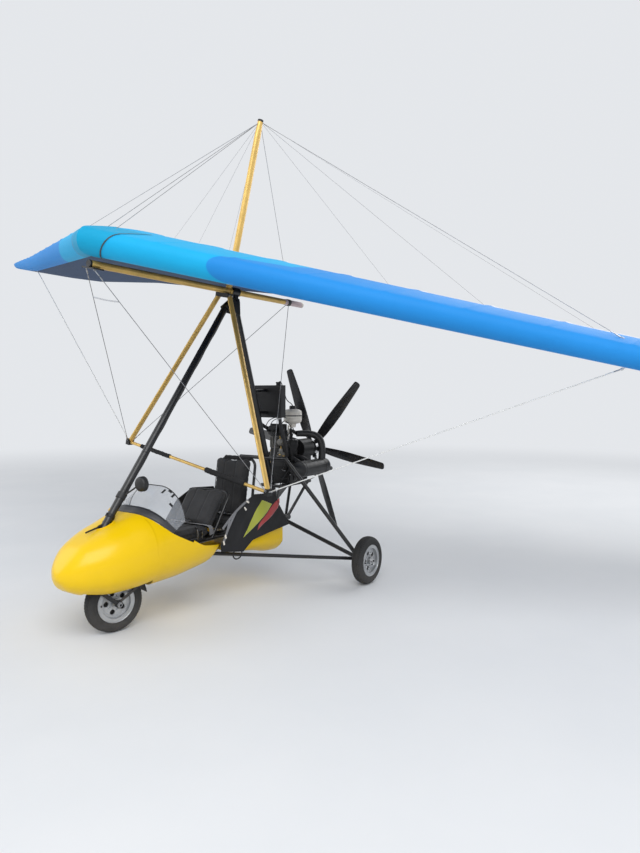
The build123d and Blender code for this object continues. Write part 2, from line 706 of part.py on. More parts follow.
def overflow_bottle():
    """White bottle with its cap, on a post from the cylinder head."""
    low, shoulder, top = [ENGINE_FLOOR + PLUG_TOP + rise for rise in BOTTLE_RISE]
    body = rod(at(BOTTLE_X, BOTTLE_Y, low), at(BOTTLE_X, BOTTLE_Y, shoulder), BOTTLE_DIA)
    cap = rod(at(BOTTLE_X, BOTTLE_Y, shoulder), at(BOTTLE_X, BOTTLE_Y, top), 62)
    post_x, post_y = BOTTLE_X + 45, BOTTLE_Y - 22
    head_top = ENGINE_FLOOR + HEAD_RISE[1] + 8
    post = rod(at(post_x, post_y, head_top), at(post_x, post_y, low + 12), 18)
    return body + cap + post


# Propeller, built on the X axis

def blade():
    stations = [(70, 26, 24, 46), (150, 84, 20, 34), (390, 118, 14, 22), (430, 84, 12, 21), (PROP_RADIUS, 62, 8, 15)]
    faces = []
    for radius, chord, thick, twist in stations:
        low, high = Vector(-chord / 2, 0), Vector(chord / 2, 0)
        back = ThreePointArc(low, (0, thick * 0.75), high)
        front = ThreePointArc(high, (0, -thick * 0.25), low)
        face = make_face(back + front)
        faces.append(Plane(origin=(0, 0, radius), x_dir=(0, 1, 0), z_dir=(0, 0, 1)) * (Rot(0, 0, twist) * face))
    return loft(faces, ruled=True)


def hub():
    shape = rod((-34, 0, 0), (30, 0, 0), PROP_HUB_DIA) + rod((-44, 0, 0), (-30, 0, 0), 96)
    return shape - rod((-60, 0, 0), (60, 0, 0), PROP_SHAFT_DIA + 2 * RUNNING_GAP)


# Wing, built at the roll pivot and then set at the parked roll

SWEEP_RUN = 1.0 / math.tan(math.radians(NOSE_ANGLE_HALF))

# Sail sections: (span station, chord, underside height, thickness, trailing edge height)
SAIL_SECTIONS = [
    (0.0, 2452.0, 52.0, 246.0, 86.0),
    (3200.0, 1652.0, -94.0, 202.0, 12.0),
    (4300.0, 1332.0, -106.0, 158.0, -18.0),
    (4900.0, 1132.0, -104.0, 120.0, -32.0),
    (5100.0, 1002.0, -94.0, 84.0, -38.0),
]
NOSE_LOW = 0.42
NOSE_HIGH = 0.30
CREST = 0.30
KNEE = 0.60
SEAM = 0.70


def arc_at(centre, radius, start_deg, end_deg, station):
    """Arc in the plane Y = station; angles are measured from +X towards +Z."""
    spots = []
    for deg in (start_deg, (start_deg + end_deg) / 2, end_deg):
        turn = math.radians(deg)
        spots.append(Vector(centre[0] + radius * math.cos(turn), station, centre[1] + radius * math.sin(turn)))
    return ThreePointArc(*spots)


def airfoil(side, station, chord, low, thick, tail, inset=0.0):
    """Double-surface section: round nose, long top arc, flat underside, single skin at the tail.

    With an inset it is the hollow between the two surfaces."""
    nose = WING_NOSE_X - station * SWEEP_RUN
    y = side * station
    tip_z = low + NOSE_LOW * thick
    chin = NOSE_LOW * thick - inset
    nose_arc = NOSE_HIGH * thick - inset
    top = low + thick - inset
    crest_x = nose - CREST * chord
    run, rise = nose - inset - crest_x, top - tip_z
    bend = 0.2
    for _ in range(12):
        bend = 2 * math.atan((rise - nose_arc * math.cos(bend)) / (run - nose_arc + nose_arc * math.sin(bend)))
    brow_arc = (run - nose_arc + nose_arc * math.sin(bend)) / math.sin(bend)
    bend = math.degrees(bend)
    back_run, back_drop = chord * (1 - CREST), low + thick - tail
    back_arc = (back_run * back_run + back_drop * back_drop) / (2 * back_drop)
    back_centre = (crest_x, low + thick - back_arc)

    def top_angle(x, radius):
        return math.degrees(math.acos((x - crest_x) / radius))

    def end_of(x, radius):
        turn = math.radians(top_angle(x, radius))
        return Vector(crest_x + radius * math.cos(turn), y, back_centre[1] + radius * math.sin(turn))

    under = Vector(nose - inset - chin, y, low + inset)
    front = arc_at((crest_x, top - brow_arc), brow_arc, 90, 90 - bend, y)
    front = front + arc_at((nose - inset - nose_arc, tip_z), nose_arc, 90 - bend, 0, y)
    front = front + arc_at((nose - inset - chin, tip_z), chin, 0, -90, y)
    outer = back_arc - inset
    if inset:
        last_x = nose - (SEAM - 0.03) * chord
        knee = Vector(nose - (KNEE - 0.015) * chord, y, low + inset)
        upper = arc_at(back_centre, outer, top_angle(last_x, outer), 90, y)
        return make_face(upper + front + Polyline(under, knee, end_of(last_x, outer)))
    tail_x = nose - chord
    seam_x = nose - SEAM * chord
    skin = back_arc - SAIL_EDGE
    knee = Vector(nose - KNEE * chord, y, low)
    upper = arc_at(back_centre, outer, top_angle(tail_x, outer), 90, y)
    lower = arc_at(back_centre, skin, top_angle(seam_x, skin), top_angle(tail_x, skin), y)
    tail_edge = Line(end_of(tail_x, skin), end_of(tail_x, outer))
    return make_face(upper + front + Polyline(under, knee, end_of(seam_x, skin)) + lower + tail_edge)


def sail_pieces(side):
    """One side of the sail as a hollow skin: the main panel and that side's half of the nose cap."""
    outer = loft([airfoil(side, *s) for s in SAIL_SECTIONS], ruled=True)
    first, last = SAIL_SECTIONS[0], SAIL_SECTIONS[-1]
    sections = [(first[0] - 5, *first[1:])] + SAIL_SECTIONS[1:-1] + [(last[0] - 20, *last[1:])]
    inner = loft([airfoil(side, *s, inset=SAIL_WALL) for s in sections], ruled=True)
    panel = biggest(((outer - cap_zone()) - kingpost_hole()) - inner)
    cap = (outer - inner) & cap_zone()
    return panel, cap


NOSE_CAP_HALF = 215.0
NOSE_CAP_BACK = 330.0


def cap_zone():
    return block((WING_NOSE_X - NOSE_CAP_BACK, -NOSE_CAP_HALF, -200), (WING_NOSE_X + 100, NOSE_CAP_HALF, 400))


def wing_keel():
    tube = rod((WING_KEEL_REAR, 0, 0), (WING_NOSE_X - WING_KEEL_INSET, 0, 0), WING_KEEL_DIA)
    for x in (-HANG_LENGTH / 2 - 12, HANG_LENGTH / 2 + 12):
        tube = tube + rod((x - 11, 0, 0), (x + 11, 0, 0), WING_KEEL_DIA + 16)
    return tube


def bar_end(side):
    return Vector(BAR_X, side * BAR_HALF, BAR_Z)


def apex_end(side):
    return Vector(APEX_X, side * 52, -WING_KEEL_DIA / 2 - 6)


def corner(side):
    end = bar_end(side)
    return block(end - Vector(30, 22, 24), end + Vector(30, 22, 30))


def apex():
    return block((APEX_X - 34, -70, -WING_KEEL_DIA / 2 - 34), (APEX_X + 34, 70, -WING_KEEL_DIA / 2 + 2))


def nose_plate():
    under = -WING_KEEL_DIA / 2
    return block((WING_NOSE_X - 190, -60, under - 8), (WING_NOSE_X - WING_KEEL_INSET + 8, 60, under + 2))


def rear_tang():
    return rod((REAR_TANG_X - 20, 0, 0), (REAR_TANG_X + 20, 0, 0), WING_KEEL_DIA + 12)


def wing_brackets():
    keel = wing_keel()
    return [corner(1), corner(-1), trim(apex(), keel), trim(nose_plate(), keel), trim(rear_tang(), keel)]


def oval(length, width, end_radius):
    """Oval face made of four arcs that meet smoothly."""
    reach, half = length / 2 - end_radius, width / 2
    side_radius = (reach * reach + half * half - end_radius * end_radius) / (2 * (half - end_radius))
    depth = side_radius - half
    turn = math.atan2(depth, reach)
    joint = Vector(reach + end_radius * math.cos(turn), end_radius * math.sin(turn))
    corners = [joint, Vector(-joint.X, joint.Y), Vector(-joint.X, -joint.Y), Vector(joint.X, -joint.Y)]
    middles = [(0, half), (-length / 2, 0), (0, -half), (length / 2, 0)]
    arcs = [ThreePointArc(corners[i], middles[i], corners[(i + 1) % 4]) for i in range(4)]
    return make_face(arcs)


def downtube(side):
    """Streamlined upright, deep fore and aft."""
    start, end = apex_end(side), bar_end(side)
    plane = Plane(origin=start, x_dir=(1, 0, 0), z_dir=end - start)
    tube = extrude(plane * oval(*DOWNTUBE), amount=(end - start).length)
    return trim(tube, corner(side), apex(), basebar())


def basebar():
    return trim(rod(bar_end(-1), bar_end(1), BAR_DIA), corner(1), corner(-1))


def bar_grips():
    grips = []
    for low, high in GRIP_SPANS:
        sleeve = rod((BAR_X, low, BAR_Z), (BAR_X, high, BAR_Z), GRIP_DIA)
        grips.append(sleeve - rod((BAR_X, low - 5, BAR_Z), (BAR_X, high + 5, BAR_Z), BAR_DIA))
    return grips


def kingpost_top():
    return Vector(KINGPOST_TOP[0], 0, KINGPOST_TOP[1])


def kingpost():
    base = Vector(APEX_X - 40, 0, 0)
    return trim(rod(base, kingpost_top(), KINGPOST_DIA), wing_keel())


def kingpost_hole():
    """Square opening in the sail that the kingpost rises through."""
    middle, half = APEX_X - 49, 36
    return block((middle - half, -half, -100), (middle + half, half, 400))


def wires(sail_port, sail_starboard, nose_cap, post):
    """Main stays: three pairs below the wing, then the kingpost's own."""
    low, high = [], []
    nose = Vector(WING_NOSE_X - 120, 0, -WING_KEEL_DIA / 2 - 4)
    rear = Vector(REAR_TANG_X, 0, 0)
    for side in (1, -1):
        end = bar_end(side) + Vector(0, 0, 10)
        ahead, astern, outboard = Vector(25, 0, 0), Vector(-25, 0, 0), Vector(0, 17 * side, 0)
        low.append(trim(rod(end + ahead, nose + Vector(0, 40 * side, 0), WIRE_DIA), corner(side), nose_plate()))
        low.append(trim(rod(end + astern, rear, WIRE_DIA), corner(side), rear_tang()))
        tang = Vector(SIDE_TANG[0], side * SIDE_TANG[1], SIDE_TANG[2])
        low.append(trim(rod(end + outboard, tang, WIRE_DIA), corner(side), sail_port, sail_starboard))
    top = Vector(KINGPOST_TOP[0], 0, KINGPOST_TOP[1] - 14)
    for side in (1, -1):
        tang = Vector(SIDE_TANG[0], side * SIDE_TANG[1], SIDE_TANG[2] + 150)
        high.append(trim(rod(top, tang, WIRE_DIA), post, sail_port, sail_starboard))
        nose_top = Vector(WING_NOSE_X - 90, side * 60, 120)
        high.append(trim(rod(top, nose_top, WIRE_DIA), post, nose_cap))
    high.append(trim(rod(top, Vector(REAR_TANG_X, 0, 60), WIRE_DIA), post, sail_port, sail_starboard))
    return low, high


def hang_bracket():
    """Sleeve round the wing's keel with the lug that the mast's bolt passes through."""
    half = HANG_LENGTH / 2
    outer = WING_KEEL_DIA + 2 * HANG_WALL
    sleeve = rod((-half, 0, 0), (half, 0, 0), outer)
    wide = CHEEK_Y - RUNNING_GAP
    lug = block((-24, -wide, -HANG_RISE), (24, wide, 0)) + rod((0, -wide, -HANG_RISE), (0, wide, -HANG_RISE), 48)
    bore = rod((-half - 5, 0, 0), (half + 5, 0, 0), WING_KEEL_DIA + 2 * RUNNING_GAP)
    bolt_hole = rod((0, -40, -HANG_RISE), (0, 40, -HANG_RISE), BOLT_DIA + 2 * RUNNING_GAP)
    return sleeve + lug - bore - bolt_hole


def on_mast(piece):
    return Pos(*at(PIVOT_X, 0, PIVOT_Z + HANG_RISE)) * piece


def parked(piece):
    return on_mast(Rot(-PARK_ROLL, 0, 0) * piece)


def mirror_set():
    """Round mirror on a stalk clamped to the front strut."""
    along = strut_along()
    clamp_at = strut_foot() + along * 520
    clamp = rod(clamp_at - along * 22, clamp_at + along * 22, STRUT_DIA + 14)
    head = clamp_at + Vector(-60, 150, 90)
    stalk = rod(clamp_at + Vector(0, 20, 0), head + Vector(8, -18, -6), 12)
    glass = rod(head - Vector(12, 0, 0), head + Vector(12, 0, 0), 107)
    return trim(clamp + stalk + glass, front_strut())


def pitot_tube():
    """Stepped probe: a boss on the strut and a thinner tube that a hose or cover slips on."""
    start = strut_foot() + strut_along() * ((PITOT_Z - strut_foot().Z) / strut_along().Z)
    along = PITOT_REACH.normalized()
    step = start + along * PITOT_BOSS
    boss = trim(rod(start, step, PITOT_DIA + 10), front_strut())
    return boss + rod(step, start + PITOT_REACH, PITOT_DIA)


def build():
    os.makedirs("parts", exist_ok=True)
    write("keel_tube", keel_tube())
    write("front_strut", trim(front_strut(), keel_tube()))
    write("mast", trim(mast(), keel_tube(), front_strut()))
    write("seat_frame", trim(seat_frame(), keel_tube(), mast()))
    write("front_seat", seat(*FRONT_SEAT))
    write("rear_seat", seat(*REAR_SEAT))
    write("front_pod", front_pod())
    write("windscreen", windscreen())
    write("instrument_panel", instrument_panel())
    write("rear_fairing", rear_fairing())
    write("fuel_tank", fuel_tank())
    write("side_cloths", *side_cloths())
    write("pitot_tube", pitot_tube())
    write("mirror", mirror_set())
    write("lift_struts", lift_struts())
    write("axle_struts", *axle_struts())
    write("axle_knuckles", *both_sides(knuckle()))
    write("engine_mount", engine_mount())
    write("engine_block", engine_block())
    write("gearbox", gearbox())
    write("carburettors", *carburettors())
    write("exhaust", exhaust())
    write("radiator", radiator())
    write("overflow_bottle", overflow_bottle())

    write("fork", fork())
    write("mudguard", mudguard())
    nose_wheel = at(0, 0, AXLE_Z)
    write("nose_tyre", turned(Pos(*nose_wheel) * tyre()))
    write("nose_rim", turned(Pos(*nose_wheel) * rim(1, FORK_HALF - FORK_LEG_DIA)))
    for name, side in (("port", 1), ("starboard", -1)):
        centre = at(-WHEELBASE, side * TRACK / 2, AXLE_Z)
        write(name + "_tyre", Pos(*centre) * tyre())
        write(name + "_rim", Pos(*centre) * rim(side, HUB_HALF))

    prop_at = Pos(*at(PROP_X, 0, PROP_Z))
    blades = []
    for i in range(PROP_BLADES):
        angle = PROP_FIRST_DEG + 360.0 / PROP_BLADES * i
        blades.append(prop_at * (Rot(angle - 90, 0, 0) * blade() - hub()))
    write("prop_hub", prop_at * hub())
    write("prop_blades", *blades)
    write("hang_bracket", on_mast(hang_bracket()))

    port, port_cap = sail_pieces(1)
    starboard, starboard_cap = sail_pieces(-1)
    nose_cap = port_cap + starboard_cap
    post = kingpost()
    low, high = wires(port, starboard, nose_cap, post)
    write("sail_port", parked(port))
    write("sail_starboard", parked(starboard))
    write("nose_cap", parked(nose_cap))
    write("wing_keel", parked(wing_keel()))
    write("kingpost", parked(post))
    write("downtube_port", parked(downtube(1)))
    write("downtube_starboard", parked(downtube(-1)))
    write("basebar", parked(basebar()))
    write("bar_grips", *[parked(piece) for piece in bar_grips()])
    write("wing_brackets", *[parked(piece) for piece in wing_brackets()])
    write("lower_wires", *[parked(piece) for piece in low])
    write("upper_wires", *[parked(piece) for piece in high])


build()
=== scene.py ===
import math
import random

import bmesh
import bpy
from mathutils import Matrix, Vector
from mathutils.geometry import delaunay_2d_cdt


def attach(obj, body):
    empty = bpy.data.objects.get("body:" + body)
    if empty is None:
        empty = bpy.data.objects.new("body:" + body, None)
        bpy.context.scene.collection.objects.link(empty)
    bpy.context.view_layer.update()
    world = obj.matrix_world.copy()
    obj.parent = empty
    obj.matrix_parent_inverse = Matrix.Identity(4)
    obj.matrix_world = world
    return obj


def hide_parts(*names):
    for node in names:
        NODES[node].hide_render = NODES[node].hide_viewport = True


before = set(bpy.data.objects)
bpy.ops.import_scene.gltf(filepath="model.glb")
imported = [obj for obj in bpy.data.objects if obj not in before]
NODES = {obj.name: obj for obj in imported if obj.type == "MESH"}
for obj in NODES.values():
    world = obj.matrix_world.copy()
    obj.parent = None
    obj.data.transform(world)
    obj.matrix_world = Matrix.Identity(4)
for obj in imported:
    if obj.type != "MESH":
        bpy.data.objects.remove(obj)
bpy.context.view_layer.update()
random.seed(11)

# Driving sizes, in metres, the same as the construction's
NOSE_X = 1.460
TYRE_RADIUS = 0.205
WHEELBASE = 1.970
HALF_TRACK = 0.940
HEAD_X = 0.250
PARK_STEER = math.radians(12)
PARK_ROLL = math.radians(11.5)
WING_AT = Vector((0.141, 0, 2.518))
PROP_AT = Vector((NOSE_X - 2.480, 0, 1.114))
PROP_RADIUS = 0.840
PROP_FIRST = -70
PROP_BLADES = 6
SIDES = ((1, "port"), (-1, "starboard"))

# The photograph's view
CAMERA_AT = (4.292, 3.703, 1.640)
CAMERA_HEADING = 214.16
CAMERA_DROP = 2.81
CAMERA_LENS = 27.05
BACKDROP = (0.78, 0.80, 0.83, 1)


def trike(x, y, z):
    """Row frame from metres in the trike's frame, whose origin is under the nose wheel."""
    return Vector((NOSE_X + x, y, z))


def spot(x, y, z):
    """Row frame from millimetres in the trike's frame."""
    return trike(x / 1000, y / 1000, z / 1000)


def metres(*rows):
    return [tuple(value / 1000 for value in row) for row in rows]


def turned(degrees, axis):
    return Matrix.Rotation(math.radians(degrees), 4, axis)


def stand(x, y, z, way="up"):
    """Matrix at a place in millimetres in the trike's frame, with its Z axis pointing one way."""
    ways = {"up": (0, "X"), "aft": (-90, "Y"), "fore": (90, "Y"), "starboard": (90, "X")}
    return Matrix.Translation(spot(x, y, z)) @ turned(*ways[way])


STAND = Matrix.Translation((NOSE_X, 0, 0))
HEAD = Matrix.Translation(trike(HEAD_X, 0, 0))
STEER = HEAD @ Matrix.Rotation(-PARK_STEER, 4, "Z") @ HEAD.inverted()
TO_ROW = Matrix.Translation(WING_AT) @ Matrix.Rotation(-PARK_ROLL, 4, "X")


def wing(x, y, z):
    """Row frame from the wing's own frame, whose origin is the roll pivot."""
    return TO_ROW @ Vector((x, y, z))


# Material helpers

M = {}
MIX_A, MIX_B, MIX_RESULT = 6, 7, 2


def feed(tree, node, values):
    """Give a node's inputs their numbers and colours, or link other nodes' outputs to them."""
    for key, value in values.items():
        if isinstance(value, bpy.types.NodeSocket):
            tree.links.new(value, node.inputs[key])
        else:
            node.inputs[key].default_value = value


def add(tree, kind, inputs=None, **settings):
    node = tree.nodes.new("ShaderNode" + kind)
    for key, value in settings.items():
        setattr(node, key, value)
    feed(tree, node, inputs or {})
    return node


def new_material(name):
    material = bpy.data.materials.new(name)
    material.use_nodes = True
    M[name] = material
    tree = material.node_tree
    return tree, tree.nodes["Principled BSDF"]


def position(tree, scale=(1, 1, 1)):
    """Object coordinates, stretched so that a grain can run along an axis."""
    coords = add(tree, "TexCoord").outputs["Object"]
    return add(tree, "Mapping", {"Vector": coords, "Scale": scale}).outputs["Vector"]


def noise(tree, vector, scale, detail=4.0, rough=0.55):
    inputs = {"Vector": vector, "Scale": scale, "Detail": detail, "Roughness": rough}
    return add(tree, "TexNoise", inputs).outputs["Fac"]


def ramp(tree, factor, low, high):
    """Ramp between two (position, colour) stops; a colour is a grey number or three numbers."""
    node = add(tree, "ValToRGB", {"Fac": factor})
    for element, (place, colour) in zip(node.color_ramp.elements, (low, high)):
        rgb = (colour,) * 3 if isinstance(colour, float) else colour
        element.position = place
        element.color = (*rgb, 1)
    return node.outputs["Color"]


def mottled(tree, factor, colour, share, low=0.3, high=0.7):
    """A colour that falls to a share of itself in the factor's hollows."""
    return ramp(tree, factor, (low, tuple(c * share for c in colour)), (high, colour))


def mix(tree, factor, low, high, mode="MIX"):
    """Mix two colours, each given as three numbers or as a socket."""
    low, high = (c if isinstance(c, bpy.types.NodeSocket) else (*c, 1) for c in (low, high))
    inputs = {"Factor": factor, MIX_A: low, MIX_B: high}
    return add(tree, "Mix", data_type="RGBA", blend_type=mode, inputs=inputs).outputs[MIX_RESULT]


def maths(tree, operation, a, b=0.5):
    return add(tree, "Math", {0: a, 1: b}, operation=operation).outputs[0]


def step_between(tree, value, low, high):
    inputs = {"Value": value, "From Min": low, "From Max": high}
    return add(tree, "MapRange", inputs, interpolation_type="SMOOTHSTEP").outputs["Result"]


def bump(tree, shader, height, strength, distance=0.001, under=None):
    """Bump on the shader, over another bump where one is given."""
    inputs = {"Strength": strength, "Distance": distance, "Height": height}
    if under is not None:
        inputs["Normal"] = under
    normal = add(tree, "Bump", inputs).outputs["Normal"]
    feed(tree, shader, {"Normal": normal})
    return normal


def with_dust(tree, place, base, dust, low, high, most, patches):
    """Base colour under patches of dust that thin out between two heights."""
    height = add(tree, "SeparateXYZ", {"Vector": place}).outputs["Z"]
    inputs = {"Value": height, "From Min": low, "From Max": high, "To Min": most, "To Max": 0.0}
    fall = add(tree, "MapRange", inputs).outputs["Result"]
    return mix(tree, maths(tree, "MULTIPLY", fall, patches), base, dust)


def threads(tree, place, directions, scale, distortion):
    """Two crossed waves, as a weave."""
    waves = []
    for direction in directions:
        inputs = {"Vector": place, "Scale": scale, "Distortion": distortion}
        waves.append(add(tree, "TexWave", inputs, bands_direction=direction).outputs["Fac"])
    return maths(tree, "ADD", *waves)


def plain(
    name, colour, rough, metal=0.0, vary=0.85, scale=6.0, grain=180.0, bumpy=0.12, stretch=(1, 1, 1),
    coat=0.0,
):
    """Surface with a slow change of tone, a fine grain and some spread of gloss."""
    tree, shader = new_material(name)
    place = position(tree, stretch)
    gloss = (0.25, max(0.02, rough - 0.07)), (0.75, min(1.0, rough + 0.08))
    feed(tree, shader, {
        "Base Color": mottled(tree, noise(tree, place, scale), colour, vary),
        "Roughness": ramp(tree, noise(tree, place, scale * 4), *gloss),
        "Metallic": metal, "Coat Weight": coat, "Coat Roughness": 0.06,
    })
    bump(tree, shader, noise(tree, place, grain, 3.0), bumpy)


def dusty(name, colour, dust, rough, low, high, bumpy=0.1):
    """Surface that gathers road dust towards its lower edge, between two heights."""
    tree, shader = new_material(name)
    place = position(tree)
    base = mottled(tree, noise(tree, place, 5.0), colour, 0.85)
    patches = noise(tree, place, 26.0, 6.0)
    colour = with_dust(tree, place, base, dust, low, high, 0.75, patches)
    feed(tree, shader, {"Base Color": colour, "Roughness": rough})
    bump(tree, shader, noise(tree, place, 220.0, 3.0), bumpy)


def woven(name, colour, rough=0.85, thread=1400.0, vary=0.7, sheen=0.3):
    """Cloth: two crossed thread waves, soft creases and worn patches."""
    tree, shader = new_material(name)
    place = position(tree)
    tone = mottled(tree, noise(tree, place, 7.0, 5.0), colour, vary, 0.3, 0.72)
    feed(tree, shader, {"Base Color": tone, "Roughness": rough})
    feed(tree, shader, {"Sheen Weight": sheen, "Sheen Roughness": 0.5})
    creases = bump(tree, shader, noise(tree, place, 16.0, 3.0), 0.25, 0.01)
    bump(tree, shader, threads(tree, place, "XZ", thread, 1.0), 0.15, 0.0004, creases)


def clear_sheet(name, tint, alpha):
    """Thin clear sheet with scuffs."""
    tree, shader = new_material(name)
    place = position(tree)
    feed(tree, shader, {
        "Base Color": (*tint, 1), "Alpha": alpha, "Coat Weight": 0.6, "Coat Roughness": 0.05,
        "Roughness": ramp(tree, noise(tree, place, 30.0, 8.0, 0.7), (0.45, 0.05), (0.75, 0.3)),
    })
    bump(tree, shader, noise(tree, place, 3.0, 2.0), 0.2, 0.01)


def gelcoat(name, colour, dust):
    """Glossy shell with a slow ripple, fine dust low down and hairline scuffs."""
    tree, shader = new_material(name)
    place = position(tree)
    base = mottled(tree, noise(tree, place, 2.2, 3.0), colour, 0.96, 0.35, 0.65)
    patches = noise(tree, place, 18.0, 7.0, 0.65)
    feed(tree, shader, {
        "Base Color": with_dust(tree, place, base, dust, 0.27, 0.42, 0.65, patches),
        "Roughness": ramp(tree, noise(tree, place, 60.0, 6.0, 0.7), (0.55, 0.3), (0.8, 0.46)),
        "Specular IOR Level": 0.3, "Coat Weight": 0.18, "Coat Roughness": 0.2,
    })
    bump(tree, shader, noise(tree, place, 9.0, 2.0), 0.08, 0.004)


def anodised(name, colour):
    """Coloured tube with a fine even grain, wiped dull where it is handled."""
    tree, shader = new_material(name)
    place = position(tree)
    feed(tree, shader, {
        "Base Color": mottled(tree, noise(tree, place, 9.0, 5.0), colour, 0.72, 0.25, 0.7),
        "Roughness": ramp(tree, noise(tree, place, 40.0, 6.0), (0.3, 0.3), (0.7, 0.5)), "Metallic": 0.4,
    })
    bump(tree, shader, noise(tree, place, 300.0, 3.0), 0.02)


# Sailcloth: a colour break round the leading edge, and seams

CYAN = (0.012, 0.43, 0.78)
CYAN_CAP = (0.008, 0.36, 0.62)
AZURE = (0.02, 0.27, 0.72)
SAIL_WHITE = (0.78, 0.79, 0.82)
# Painted shade: the sail's underside is coloured dark blue for the shade it lies in
UNDER_SHADE_BLUE = (0.008, 0.045, 0.125)
BORDER_SPAN = 0.79
BORDER_BOW = 0.38
AZURE_DEPTH = 0.75


def sail_colours(tree, place):
    """Cyan at the centre, azure outboard of a bowed border, white behind, and dark blue painted shade below.
    """
    attribute = add(tree, "Attribute", attribute_type="GEOMETRY", attribute_name="cloth").outputs["Vector"]
    parts = add(tree, "SeparateXYZ", {"Vector": attribute}).outputs
    out, around = maths(tree, "ABSOLUTE", parts["X"]), parts["Y"]
    off = maths(tree, "ADD", around, 0.01)
    bow = maths(tree, "MULTIPLY", maths(tree, "MULTIPLY", off, off), 6.0)
    bow = maths(tree, "MINIMUM", bow, BORDER_BOW)
    past = maths(tree, "SUBTRACT", maths(tree, "SUBTRACT", out, bow), BORDER_SPAN)
    edge = mix(tree, step_between(tree, past, -0.004, 0.004), CYAN, AZURE)
    band = maths(tree, "SUBTRACT", AZURE_DEPTH, maths(tree, "MULTIPLY", out, 0.12))
    white = step_between(tree, maths(tree, "SUBTRACT", around, band), -0.003, 0.003)
    top = mix(tree, white, edge, SAIL_WHITE)
    # Below the chin the skin takes the dark blue painted shade
    colour = mix(tree, step_between(tree, around, -0.19, -0.185), UNDER_SHADE_BLUE, top)
    tone = ramp(tree, noise(tree, place, 1.6, 4.0), (0.3, 0.93), (0.7, 1.0))
    return mix(tree, 1.0, colour, tone, "MULTIPLY")


def sailcloth(name, cap=False):
    tree, shader = new_material(name)
    place = position(tree)
    colour = mottled(tree, noise(tree, place, 3.0), CYAN_CAP, 0.93) if cap else sail_colours(tree, place)
    feed(tree, shader, {"Base Color": colour, "Roughness": 0.55, "Specular IOR Level": 0.16})
    wrinkle = bump(tree, shader, noise(tree, position(tree, (1.0, 0.35, 1.0)), 7.0, 3.0), 0.25, 0.012)
    bump(tree, shader, threads(tree, place, "XY", 420.0, 0.0), 0.08, 0.0004, wrinkle)


# Materials

gelcoat("pod_gelcoat", (0.92, 0.59, 0.0), (0.35, 0.23, 0.03))
anodised("gold_tube", (0.84, 0.55, 0.16))
clear_sheet("clear_sheet", (0.5, 0.52, 0.55), 0.26)
sailcloth("sail_cloth")
sailcloth("nose_cap_cloth", cap=True)
plain("black_tube", (0.010, 0.010, 0.011), 0.36, bumpy=0.05, coat=0.1)
plain("black_plastic", (0.012, 0.012, 0.013), 0.5, grain=420.0, bumpy=0.25)
plain("steel", (0.5, 0.5, 0.51), 0.32, 1.0, stretch=(1, 1, 8))
plain("wire_strand", (0.33, 0.33, 0.34), 0.4, 0.9, grain=900.0, bumpy=0.3)
plain("coated_wire", (0.88, 0.88, 0.86), 0.4, bumpy=0.05)
plain("cast_alloy", (0.56, 0.57, 0.58), 0.38, 0.85, vary=0.7, grain=500.0, bumpy=0.3)
plain("engine_case", (0.026, 0.026, 0.027), 0.45, 0.5, vary=0.55, grain=350.0, bumpy=0.35)
plain("engine_alloy", (0.3, 0.29, 0.27), 0.48, 0.7, vary=0.55, grain=350.0, bumpy=0.4)
plain("brass_fitting", (0.6, 0.42, 0.16), 0.35, 0.9)
plain("exhaust_black", (0.02, 0.02, 0.021), 0.42, vary=0.6, scale=9.0, bumpy=0.2)
plain("radiator_black", (0.014, 0.014, 0.016), 0.5, 0.3, bumpy=0.2)
plain("hose_rubber", (0.014, 0.014, 0.015), 0.62, grain=260.0, bumpy=0.3)
plain("foam_sleeve", (0.016, 0.016, 0.017), 0.9, grain=500.0, bumpy=0.6)
plain("white_plastic", (0.86, 0.81, 0.72), 0.42, vary=0.88, bumpy=0.1)
plain("mirror_face", (0.8, 0.8, 0.82), 0.04, 1.0, vary=0.97, bumpy=0.0)
plain("prop_black", (0.014, 0.014, 0.016), 0.3, vary=0.7, bumpy=0.05, coat=0.3)
plain("prop_edge", (0.3, 0.3, 0.31), 0.3, 0.6)
plain("screen_seal", (0.04, 0.041, 0.045), 0.45, bumpy=0.2)
plain("brake_iron", (0.045, 0.043, 0.04), 0.55, 0.6, vary=0.5, scale=14.0, bumpy=0.3)
dusty("guard_plastic", (0.02, 0.02, 0.021), (0.16, 0.14, 0.12), 0.55, 0.2, 0.45)
dusty("tyre_rubber", (0.022, 0.022, 0.022), (0.11, 0.1, 0.09), 0.78, 0.0, 0.35, bumpy=0.35)
woven("seat_cloth", (0.026, 0.026, 0.028), 0.8, vary=0.55, sheen=0.08)
woven("seat_trim", (0.008, 0.008, 0.009), 0.85, vary=0.6, sheen=0.05)
woven("side_cloth", (0.007, 0.007, 0.009), 0.85, vary=0.6, sheen=0.04)
woven("flash_green", (0.42, 0.45, 0.03), 0.75, vary=0.85)
woven("flash_red", (0.42, 0.035, 0.035), 0.75, vary=0.75)
woven("grey_webbing", (0.2, 0.2, 0.21), 0.8, thread=2400.0, vary=0.8)
woven("white_webbing", (0.66, 0.67, 0.7), 0.75, thread=2400.0, vary=0.85)
woven("sleeve_cloth", (0.7, 0.55, 0.55), 0.75, vary=0.8)


# Mesh helpers; radii, profiles and boxes are in millimetres, points and matrices in metres

def apply_modifiers(obj):
    bpy.context.view_layer.update()
    graph = bpy.context.evaluated_depsgraph_get()
    mesh = bpy.data.meshes.new_from_object(obj.evaluated_get(graph), depsgraph=graph)
    old = obj.data
    obj.modifiers.clear()
    obj.data = mesh
    bpy.data.meshes.remove(old)


def thicken(obj, thickness, offset):
    modifier = obj.modifiers.new("wall", "SOLIDIFY")
    modifier.thickness = thickness / 1000
    modifier.offset = offset
    modifier.use_even_offset = True
    apply_modifiers(obj)


